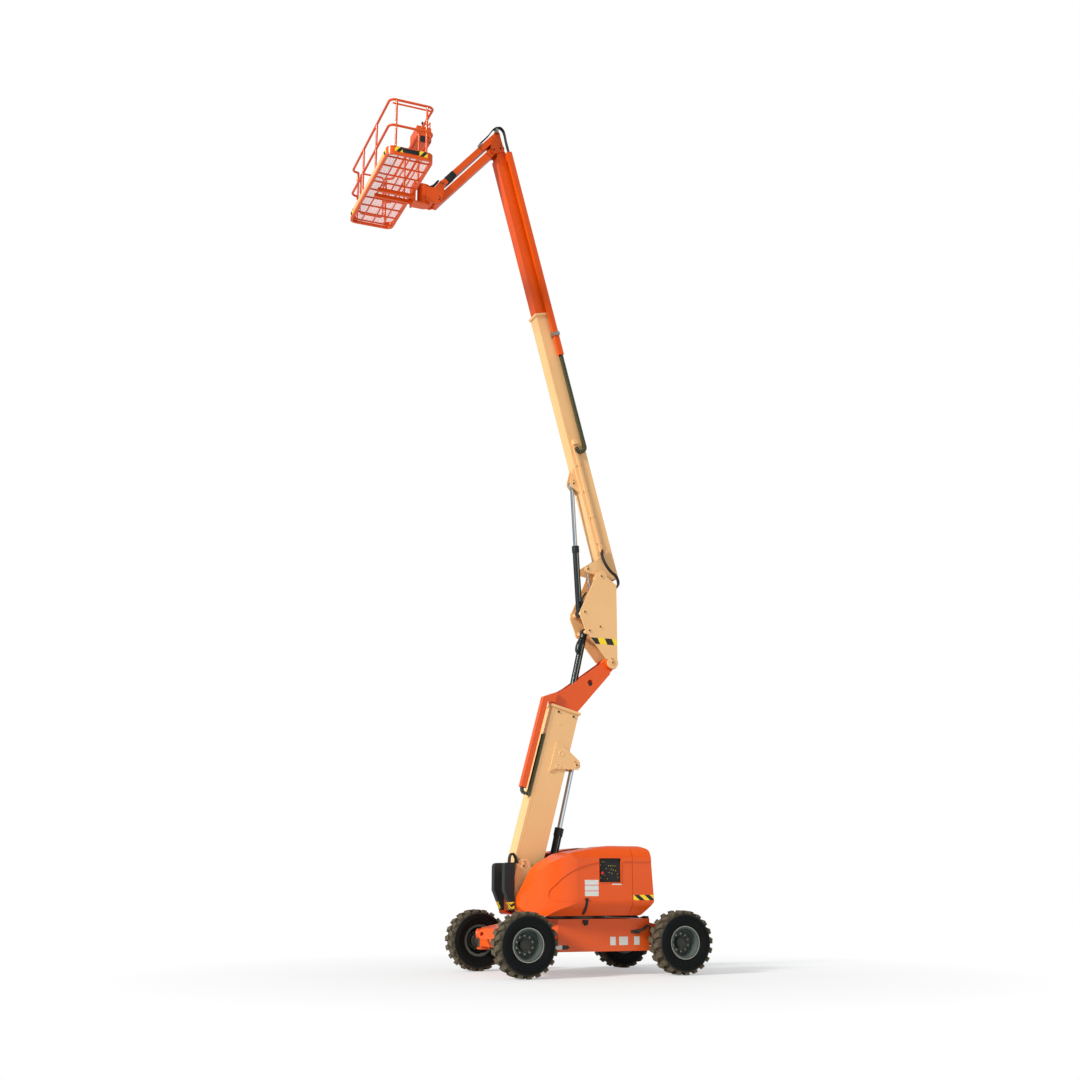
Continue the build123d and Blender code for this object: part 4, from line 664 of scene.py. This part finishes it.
# Hood swoop: the moulded edge round the sunk panel, in front of the window and behind it
swoop = dict(
    front=[
        (0.09, 1.607), (0.3, 1.562), (0.5, 1.477), (0.64, 1.375), (0.74, 1.27), (0.8, 1.2),
        (0.815, 1.14), (0.79, 1.092), (0.72, 1.053), (0.6, 1.05), (0.2, 1.05), (-0.46, 1.05),
    ],
    behind=[(-0.33, 1.622), (-0.46, 1.622)], radius=0.004,
)
for name, side in (("left", 1), ("right", -1)):
    skin = onSkin(f"hood_{name}", side)
    bead = bmesh.new()
    for edge in (swoop["front"], swoop["behind"]):
        path = smoothPath([(x, 0, z) for x, z in edge])
        addTube(bead, [skin(p.x, p.z) for p in path], swoop["radius"], 8)
    makePiece(f"hood_swoop_{name}", bead, finish["orange_paint"], f"hood_{name}")
print("ground controls and hood edges")

# Hood latch, its catch on the chassis, and hoses down to the rear axle
latch = dict(
    x=0.27, path=[(1.024, 1.07), (1.003, 0.99), (0.953, 0.925), (0.885, 0.872)], width=0.04, thick=0.012,
    out=0.004, lap=0.008, chamfer=0.003, knob=[((0.27, 1.026, 1.08), (0.055, 0.016, 0.03), 0.004)],
)
strap = bmesh.new()
for (y0, z0), (y1, z1) in zip(latch["path"], latch["path"][1:]):
    way = Vector((0, y1 - y0, z1 - z0))
    spot = Vector((latch["x"], (y0 + y1) / 2 + latch["out"], (z0 + z1) / 2))
    size = (latch["width"], latch["thick"], way.length + latch["lap"])
    addBrick(strap, spot, size, (1, 0, 0), way, latch["chamfer"])
addBlocks(strap, latch["knob"])
makePiece("hood_latch", strap, finish["black_plastic"], "hood_left")
catchBlocks = [
    ((0.19, 0.792, 0.76), (0.085, 0.026, 0.05), 0.006), ((0.19, 0.8, 0.725), (0.05, 0.03, 0.03), 0.005),
]
catch = bmesh.new()
addBlocks(catch, catchBlocks)
makePiece("chassis_catch", catch, finish["black_plastic"], "chassis")
axleHoses = dict(
    path=[
        (-0.62, 0.79, 0.62), (-0.72, 0.83, 0.64), (-0.82, 0.80, 0.7), (-0.9, 0.7, 0.66), (-0.97, 0.55, 0.56),
        (-1.06, 0.42, 0.5),
    ],
    count=2, step=0.045, radius=0.014,
)
hoseBundle("axle_hoses", axleHoses, "chassis")
fittings = dict(
    plugAt=(-0.66, 0.778, 0.615),
    plug=[(0, 0), (0.034, 0), (0.034, 0.02), (0.026, 0.024), (0.026, 0.05), (0.02, 0.055), (0, 0.055)],
    blocks=[
        ((-0.60, 0.79, 0.612), (0.1, 0.024, 0.045), 0.006), ((-0.835, 0.7, 0.79), (0.06, 0.12, 0.09), 0.01),
        ((-0.83, 0.735, 0.72), (0.035, 0.06, 0.09), 0.008),
    ],
)
plug = bmesh.new()
addTurned(plug, fittings["plugAt"], left, fittings["plug"], 20)
addBlocks(plug, fittings["blocks"])
makePiece("axle_fittings", plug, finish["dark_paint"], "chassis")
towerFootHoses = dict(
    path=[
        (1.04, 0.2, 1.6), (1.075, 0.205, 1.69), (1.12, 0.21, 1.74), (1.165, 0.215, 1.7), (1.175, 0.22, 1.6),
    ],
    count=3, step=0.03, radius=0.013,
)
hoseBundle("tower_foot_hoses", towerFootHoses, "turntable")
print("lower trim")

# Hoses that cross a joint, made in place and held by no body
over = [
    (-0.444, 0.15, 6.6), (-0.43, 0.2, 6.47), (-0.47, 0.245, 6.33), (-0.56, 0.25, 6.22), (-0.66, 0.235, 6.15),
    (-0.71, 0.2, 6.04), (-0.66, 0.17, 5.95),
]
elbow = hoseBundle("boom_foot_hoses", dict(path=over, count=3, step=0.026, radius=0.0125))
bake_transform(elbow)
lift = [(-0.174, 0.1, 5.874), (-0.1, 0.11, 5.75), (-0.115, 0.12, 5.65), (-0.06, 0.1, 5.575)]
feed = hoseBundle("main_lift_hoses", dict(path=lift, count=2, step=0.04, radius=0.011))
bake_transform(feed)
# From the push tube's open end over the jib's head and down beside the upper link
jibRun = dict(
    arch=[
        (1.7835, 13.532), (1.7, 13.632), (1.6266, 13.727), (1.55, 13.85), (1.49, 13.905), (1.412, 13.92),
        (1.346, 13.852),
    ],
    crown=4, tube=(7.72, 7.6, 7.47), across=-0.3, y=0.1975, count=4, step=0.019, radius=0.0095,
)
arch = [(x, jibRun["y"], z) for x, z in jibRun["arch"]]
tube = [tuple(onBoom(along, jibRun["across"], jibRun["y"])) for along in jibRun["tube"]]
near, far = arch[:jibRun["crown"] + 1], [*arch[jibRun["crown"]:], *tube]
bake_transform(hoseBundle("jib_hoses", dict(jibRun, path=near)))
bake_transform(hoseBundle("tip_hoses", dict(jibRun, path=far)))
# Clamps on the head and on the upper link, and the rubber sleeve round the link
jibUpper = Vector((pivots["jibUpper"][0], 0, pivots["jibUpper"][1]))
holders = [
    dict(
        name="hose_clamp_head", body="jib_head", at=(1.478, 0.18, 13.875), size=(0.034, 0.1, 0.085),
        across=(0.83, 0, -0.55), up=(0.55, 0, 0.83), chamfer=0.006, paint="bare_steel",
    ),
    dict(
        name="hose_clamp_link", body="jib_upper", at=(1.765, 0.165, 13.53), size=(0.034, 0.135, 0.05),
        across=jibWay, up=-jibRight, chamfer=0.006, paint="bare_steel",
    ),
    dict(
        name="jib_sleeve", body="jib_upper", at=jibUpper + jibWay * 1.27, size=(0.22, 0.212, 0.112),
        across=jibWay, up=-jibRight, chamfer=0.012, paint="hose_rubber",
    ),
]
for holder in holders:
    shape = bmesh.new()
    addBrick(shape, holder["at"], holder["size"], holder["across"], holder["up"], holder["chamfer"])
    makePiece(holder["name"], shape, finish[holder["paint"]], holder["body"])
# From the end of the jib to the platform's rotator
supportHoses = dict(
    path=[
        (2.46, 0.02, 12.76), (2.5, 0.03, 12.71), (2.54, 0.03, 12.655), (2.6, 0.02, 12.62),
        (2.66, 0.0, 12.612), (2.69, -0.02, 12.59),
    ],
    count=3, step=0.036, radius=0.017,
)
hoseBundle("support_hoses", supportHoses, "support")
print("hoses")

# Hose carriers: a chain of moulded links round each loop
carriers = [
    dict(
        body="tower_hose_loop", on=onTower, bend=1.124, middle=0.229, radius=0.061, ends=(1.2, 1.98), y=0.117,
        width=0.069, thick=0.042,
    ),
    dict(
        body="boom_hose_loop", on=onBoom, bend=2.178, middle=-0.225, radius=-0.075, ends=(2.185, 3.79),
        y=0.1975, width=0.0645, thick=0.053,
    ),
]
chain = dict(pitch=0.036, link=0.72, chamfer=0.004, steps=24)  # link in pitches
for carrier in carriers:
    links = bmesh.new()
    bend, middle, radius = carrier["bend"], carrier["middle"], carrier["radius"]
    path = [(carrier["ends"][0], middle - radius)]
    for t in range(chain["steps"] + 1):
        a = t * math.pi / chain["steps"]
        path.append((bend - abs(radius) * math.sin(a), middle - radius * math.cos(a)))
    path.append((carrier["ends"][1], middle + radius))
    spots = [carrier["on"](u, v, carrier["y"]) for u, v in path]
    runs = [(b - a).length for a, b in zip(spots, spots[1:])]
    size = (chain["pitch"] * chain["link"], carrier["width"], carrier["thick"])
    for i in range(int(sum(runs) / chain["pitch"])):
        rest, k = (i + 0.5) * chain["pitch"], 0
        while rest > runs[k]:
            rest, k = rest - runs[k], k + 1
        way = (spots[k + 1] - spots[k]).normalized()
        addBrick(links, spots[k] + way * rest, size, way, way.cross(left), chain["chamfer"])
    makePiece(carrier["body"] + "_links", links, finish["carrier_nylon"], carrier["body"])
print("carriers")

# Cylinders: gland nut, two ports and the pipe between them on each barrel
cylinders = [
    dict(name="tower_lift_barrel", pins="towerLift", y=0, length=1.2, radius=0.062),
    dict(name="upright_level_barrel", pins="level", y=0, length=1.08, radius=0.055),
    dict(name="main_lift_barrel", pins="mainLift", y=0, length=1.13, radius=0.052),
    dict(name="boom_level_barrel", pins="sensor", y=0.097, length=0.56, radius=0.026),
]
gland = dict(  # nut: out from the barrel's side and along it
    nut=[(-0.004, 0), (0.007, 0), (0.007, 0.042), (0.001, 0.05), (-0.02, 0.052)], back=0.05,
    ports=(0.2, 0.12), port=(0.6, 0.022, 0.7), chamfer=0.003, pipe=0.006, pipeOut=0.009, pipeStart=0.04,
)
levelHoses = dict(
    loop=[(0.1, 0.03), (0.14, 0.075), (0.24, 0.105), (0.34, 0.1), (0.38, 0.06), (0.36, 0.02)], y=0.066,
    count=2, step=0.026, radius=0.011,
)


def barrelLine(cylinder):
    # Foot and direction of a barrel
    x, z = pivots[cylinder["pins"]]
    base = Vector((x, cylinder["y"], z))
    return base, (eyes[cylinder["pins"]] + left * cylinder["y"] - base).normalized()


for cylinder in cylinders:
    name, length, radius = cylinder["name"], cylinder["length"], cylinder["radius"]
    base, way = barrelLine(cylinder)
    nut, pipe = bmesh.new(), bmesh.new()
    profile = [(radius + out, along) for out, along in gland["nut"]]
    addTurned(nut, base + way * (length - gland["back"]), way, profile, 28)
    ports = (gland["ports"][0], length - gland["ports"][1])
    size = (radius * gland["port"][0], gland["port"][1], radius * gland["port"][2])
    for at in ports:
        addBrick(nut, base + way * at + left * radius, size, way, way.cross(left), gland["chamfer"])
    makePiece(name + "_gland", nut, finish["dark_paint"], name)
    reach = left * (radius + gland["pipeOut"])
    stops = (ports[0], ports[0] + gland["pipeStart"], length / 2, ports[1])
    addTube(pipe, [base + way * t + reach for t in stops], gland["pipe"], 8)
    makePiece(name + "_pipe", pipe, finish["bare_steel"], name)
# Short loop of hoses on the upright's levelling cylinder
base, way = barrelLine(cylinders[1])
ahead = way.cross(left)
loop = [base + way * t + ahead * f + left * levelHoses["y"] for t, f in levelHoses["loop"]]
hoseBundle("level_hoses", dict(levelHoses, path=loop), "upright_level_barrel")
print("cylinders")

# Tower: bolts by the collar, round welds on the lug plates, plugs in the head's holes, a seam on each side
tower = dict(
    half=0.15, boltAlong=2.43, boltAcross=(0.017, -0.245), bolt=0.018,
    lugHalf=0.17, lugAlong=(1.603, 1.81), lugAcross=-0.189, lugWeld=(0.036, 0.038, 0.044, 0.048),
    lugRise=0.004, spotAt=(2.243, -0.042), spotWeld=(0.014, 0.015, 0.02, 0.023), spotRise=0.003,
    seamAlong=(0.12, 1.2, 2.46), seamAcross=0.105, seam=0.003,
)
hole = dict(
    x=-0.221, z=4.382, beside=0.07, sunk=0.012,
    plug=[(0, 0), (0.034, 0), (0.034, 0.01), (0.03, 0.014), (0.012, 0.014), (0.01, 0.02), (0, 0.02)],
)
bolts, welds, plugs = bmesh.new(), bmesh.new(), bmesh.new()
for side in (1, -1):
    out = left * side
    half = side * tower["half"]
    for across in tower["boltAcross"]:
        addBolt(bolts, onTower(tower["boltAlong"], across, half), out, tower["bolt"])
    for along in tower["lugAlong"]:
        spot = onTower(along, tower["lugAcross"], side * tower["lugHalf"])
        addTurned(welds, spot, out, ridge(tower["lugWeld"], 0, tower["lugRise"]), 32)
    addTurned(welds, onTower(*tower["spotAt"], half), out, ridge(tower["spotWeld"], 0, tower["spotRise"]), 24)
    seam = [onTower(along, tower["seamAcross"], half) for along in tower["seamAlong"]]
    addTube(welds, seam, tower["seam"], 6)
    skin = onSkin("tower_fly", side)(hole["x"] - hole["beside"], hole["z"]).y
    spot = Vector((hole["x"], skin - side * hole["sunk"], hole["z"]))
    addTurned(plugs, spot, out, hole["plug"], 28)
makePiece("tower_bolts", bolts, finish["dark_paint"], "tower_base")
makePiece("head_plugs", plugs, finish["black_plastic"], "tower_fly")
makePiece("tower_welds", welds, finish["beige_paint"], "tower_base")

# Main boom: a seam on each side, clamps along the hose conduit, bolts at the push tube's guide
boom = dict(
    half=0.125, seamAlong=(0.35, 2.4, 4.55), seamAcross=-0.095, seam=0.003,
    clampAlong=(0.55, 1.0, 1.45, 1.9), clampAt=(-0.15, 0.1425), clamp=(0.035, 0.037, 0.052), clampEdge=0.004,
    footAcross=(-0.19, -0.11), footOut=0.128, foot=(0.035, 0.006, 0.032), footBolt=0.008,
    guideAlong=(4.5, 4.56), guideAcross=-0.3, guideBolt=0.012,
)
seams, clamps, bolts = bmesh.new(), bmesh.new(), bmesh.new()
for side in (1, -1):
    seam = [onBoom(along, boom["seamAcross"], side * boom["half"]) for along in boom["seamAlong"]]
    addTube(seams, seam, boom["seam"], 6)
makePiece("boom_welds", seams, finish["beige_paint"], "main_base")
for along in boom["clampAlong"]:
    middle = onBoom(along, *boom["clampAt"])
    addBrick(clamps, middle, boom["clamp"], boomWay, -boomRight, boom["clampEdge"])
    for across in boom["footAcross"]:
        addBrick(clamps, onBoom(along, across, boom["footOut"]), boom["foot"], boomWay, -boomRight)
        face = boom["footOut"] + boom["foot"][1] / 2
        addBolt(bolts, onBoom(along, across, face), left, boom["footBolt"])
for along in boom["guideAlong"]:
    addBolt(bolts, onBoom(along, boom["guideAcross"], boom["half"]), left, boom["guideBolt"])
makePiece("conduit_clamps", clamps, finish["beige_paint"], "main_base")
makePiece("conduit_bolts", bolts, finish["dark_paint"], "main_base")
print("boom trim")

# Basket floor: expanded metal, one zigzag strand after another
net = dict(
    x=(2.941, 3.619), y=(-1.179, 1.179), z=12.4125, long=0.06, short=0.025, strand=0.0045, thick=0.003,
    lift=0.003,
)
strands = bmesh.new()
columns = round((net["y"][1] - net["y"][0]) / (net["long"] / 2))
rows = int((net["x"][1] - net["x"][0]) / (net["short"] / 2)) - 1
half, deep = net["strand"] / 2, net["thick"] / 2
section = [(-half, -deep), (half, -deep), (half, deep), (-half, deep)]
for row in range(rows):
    cuts = []
    for i in range(columns + 1):
        swing = 1 if (i + row) % 2 else -1
        x = net["x"][0] + (row + 1) * net["short"] / 2 + swing * net["short"] / 4
        y = min(net["y"][0] + i * net["long"] / 2, net["y"][1])
        z = net["z"] + swing * net["lift"] * (1 if row % 2 else -1)
        cuts.append([strands.verts.new((x + dx, y, z + dz)) for dx, dz in section])
    for one, two in zip(cuts, cuts[1:]):
        for i in range(4):
            strands.faces.new((one[i], one[(i + 1) % 4], two[(i + 1) % 4], two[i]))
floorMesh = makePiece("basket_mesh", strands, finish["orange_paint"], "platform")
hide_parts("platform_floor")
print("basket floor")

# Basket console: dark lower shell, two levers with boots, switches with marks, stop button and a guard bar
console = dict(
    x=(2.65, 2.894), half=0.2, low=13.33, top=13.63, belt=13.45, plate=0.008, proud=0.001, short=0.03,
    chamfer=0.003, backUp=0.014, leverAt=(2.78, 0.11), switchX=(2.69, 2.72, 2.85), switchY=0.05,
    mark=(0.014, 0.02, 0.0012), markY=0.075,
    lever=[
        (0, -0.002), (0.036, -0.002), (0.036, 0.008), (0.026, 0.014), (0.03, 0.02), (0.018, 0.028),
        (0.02, 0.034), (0.009, 0.042), (0.008, 0.085), (0.017, 0.092), (0.019, 0.125), (0.012, 0.138),
        (0, 0.14),
    ],
    switch=[(0, -0.001), (0.01, -0.001), (0.01, 0.004), (0.004, 0.007), (0.005, 0.028), (0, 0.03)],
    stopX=2.7,
    stop=[
        (0, -0.001), (0.014, -0.001), (0.014, 0.014), (0.026, 0.016), (0.027, 0.026), (0.02, 0.032),
        (0, 0.033),
    ],
)
guardBar = dict(x=2.67, half=0.185, bend=0.16, shoulder=13.7, top=13.74, sunk=0.01, radius=0.01)
shell, levers, button, marks = bmesh.new(), bmesh.new(), bmesh.new(), bmesh.new()
height = console["belt"] - console["low"]
level = (console["belt"] + console["low"]) / 2
thick, proud, deck, edge = [console[key] for key in ("plate", "proud", "top", "chamfer")]
back = (thick, 2 * console["half"] + thick, height - console["short"])
addBrick(shell, (console["x"][0] - proud, 0, level + console["backUp"]), back, chamfer=edge)
cheek = (console["x"][1] - console["x"][0] - console["short"], thick, height)
for side in (1, -1):
    spot = (sum(console["x"]) / 2, side * (console["half"] + proud), level)
    addBrick(shell, spot, cheek, chamfer=edge)
    addTurned(levers, (console["leverAt"][0], side * console["leverAt"][1], deck), top, console["lever"], 20)
    for x in console["switchX"]:
        addTurned(levers, (x, side * console["switchY"], deck), top, console["switch"], 12)
        spot = (x, side * console["markY"], deck + console["mark"][2] / 2)
        addBrick(marks, spot, console["mark"], chamfer=0)
addTurned(button, (console["stopX"], 0, deck), top, console["stop"], 28)
makePiece("console_shell", shell, finish["black_plastic"], "platform")
makePiece("console_levers", levers, finish["black_plastic"], "platform")
makePiece("console_stop", button, finish["red_plastic"], "platform")
makePiece("console_marks", marks, finish["yellow_film"], "platform")
hoop = [(guardBar["half"], deck - guardBar["sunk"]), (guardBar["half"], guardBar["shoulder"])]
hoop += [(guardBar["bend"], guardBar["top"])]
hoop += [(-y, z) for y, z in reversed(hoop)]
guard = bmesh.new()
addTube(guard, smoothPath([(guardBar["x"], y, z) for y, z in hoop]), guardBar["radius"])
makePiece("console_guard", guard, finish["orange_paint"], "platform")
gateLatchBlocks = [((3.075, -1.2, 13.22), (0.05, 0.034, 0.07), 0.006)]
gateLatch = bmesh.new()
addBlocks(gateLatch, gateLatchBlocks)
makePiece("gate_latch", gateLatch, finish["bare_steel"], "gate")
print("console")

# Camera and light as in the photo: low, looking up, long enough to keep the verticals calm
shot = dict(at=(8.458, 19.244, 1.229), yaw=22.241, pitch=14.753, lens=44.15, sensor=36.0, clip=400)
yaw, pitch = math.radians(shot["yaw"]), math.radians(shot["pitch"])
lookWay = Vector((-math.sin(yaw) * math.cos(pitch), -math.cos(yaw) * math.cos(pitch), math.sin(pitch)))
camera = bpy.data.objects.new("camera", bpy.data.cameras.new("camera"))
camera.data.lens = shot["lens"]
camera.data.sensor_width = shot["sensor"]
camera.data.clip_end = shot["clip"]
camera.location = shot["at"]
camera.rotation_euler = lookWay.to_track_quat("-Z", "Y").to_euler()
bpy.context.scene.collection.objects.link(camera)
bpy.context.scene.camera = camera

lamps = [
    dict(name="key", kind="SUN", way=(-0.85, -0.24, -0.5), power=3.9, spread=10),
    dict(name="fill", kind="SUN", way=(0.1, -1, 0.12), power=0.8, spread=60),
]
for lamp in lamps:
    light = bpy.data.lights.new(lamp["name"], lamp["kind"])
    light.energy = lamp["power"]
    light.angle = math.radians(lamp["spread"])
    holder = bpy.data.objects.new(lamp["name"], light)
    holder.rotation_euler = Vector(lamp["way"]).to_track_quat("-Z", "Y").to_euler()
    bpy.context.scene.collection.objects.link(holder)

# World: soft grey light on the machine, white where the camera looks past it
studio = dict(light=(0.4, 0.43, 0.46, 1), seen=(1, 1, 1, 1))
world = bpy.data.worlds.new("studio")
bpy.context.scene.world = world
world.use_nodes = True
sky = world.node_tree
rays = addNode(sky, "ShaderNodeLightPath")
seen = addNode(
    sky, "ShaderNodeMix", {6: studio["light"], 7: studio["seen"]}, {0: rays.outputs["Is Camera Ray"]},
    data_type="RGBA",
)
sky.links.new(seen.outputs[2], sky.nodes["Background"].inputs["Color"])

# Floor: sealed concrete, pale near the machine and fading into the white backdrop
floorLook = dict(
    radius=120, sides=96, drop=0.001, base="#e9e8e5", shade="#e2e1dd", mottle=1.4, rough=0.75,
    fadeFrom=1.5, fadeTo=7.0, least=0.4,
)
ground = bmesh.new()
bmesh.ops.create_circle(ground, cap_ends=True, segments=floorLook["sides"], radius=floorLook["radius"])
floorPaint, floorTree, floorShader = newMaterial("sealed_concrete")
floorPlace = addNode(floorTree, "ShaderNodeTexCoord").outputs["Object"]
mottle = addNode(
    floorTree, "ShaderNodeTexNoise", {"Scale": floorLook["mottle"], "Detail": 6.0}, {"Vector": floorPlace}
)
pale = addNode(
    floorTree, "ShaderNodeMix", {6: linear(floorLook["base"]), 7: linear(floorLook["shade"])},
    {0: mottle.outputs[0]}, data_type="RGBA",
)
floorTree.links.new(pale.outputs[2], floorShader.inputs["Base Color"])
floorShader.inputs["Roughness"].default_value = floorLook["rough"]
reach = addNode(floorTree, "ShaderNodeVectorMath", None, {0: floorPlace}, operation="LENGTH")
fade = addNode(
    floorTree, "ShaderNodeMapRange",
    {1: floorLook["fadeFrom"], 2: floorLook["fadeTo"], 3: floorLook["least"], 4: 1.0},
    {0: reach.outputs["Value"]},
)
glow = addNode(floorTree, "ShaderNodeEmission", {"Color": (1, 1, 1, 1), "Strength": 1.0})
floorRays = addNode(floorTree, "ShaderNodeLightPath")
white = addNode(
    floorTree, "ShaderNodeMath", None, {0: fade.outputs[0], 1: floorRays.outputs["Is Camera Ray"]},
    operation="MULTIPLY",
)
cover = addNode(
    floorTree, "ShaderNodeMixShader", None,
    {0: white.outputs[0], 1: floorShader.outputs[0], 2: glow.outputs[0]},
)
floorTree.links.new(cover.outputs[0], floorTree.nodes["Material Output"].inputs["Surface"])
floor = makePiece("floor", ground, floorPaint, None)
floor.location.z = -floorLook["drop"]

bpy.context.scene.view_settings.view_transform = "Standard"
print("scene ready")
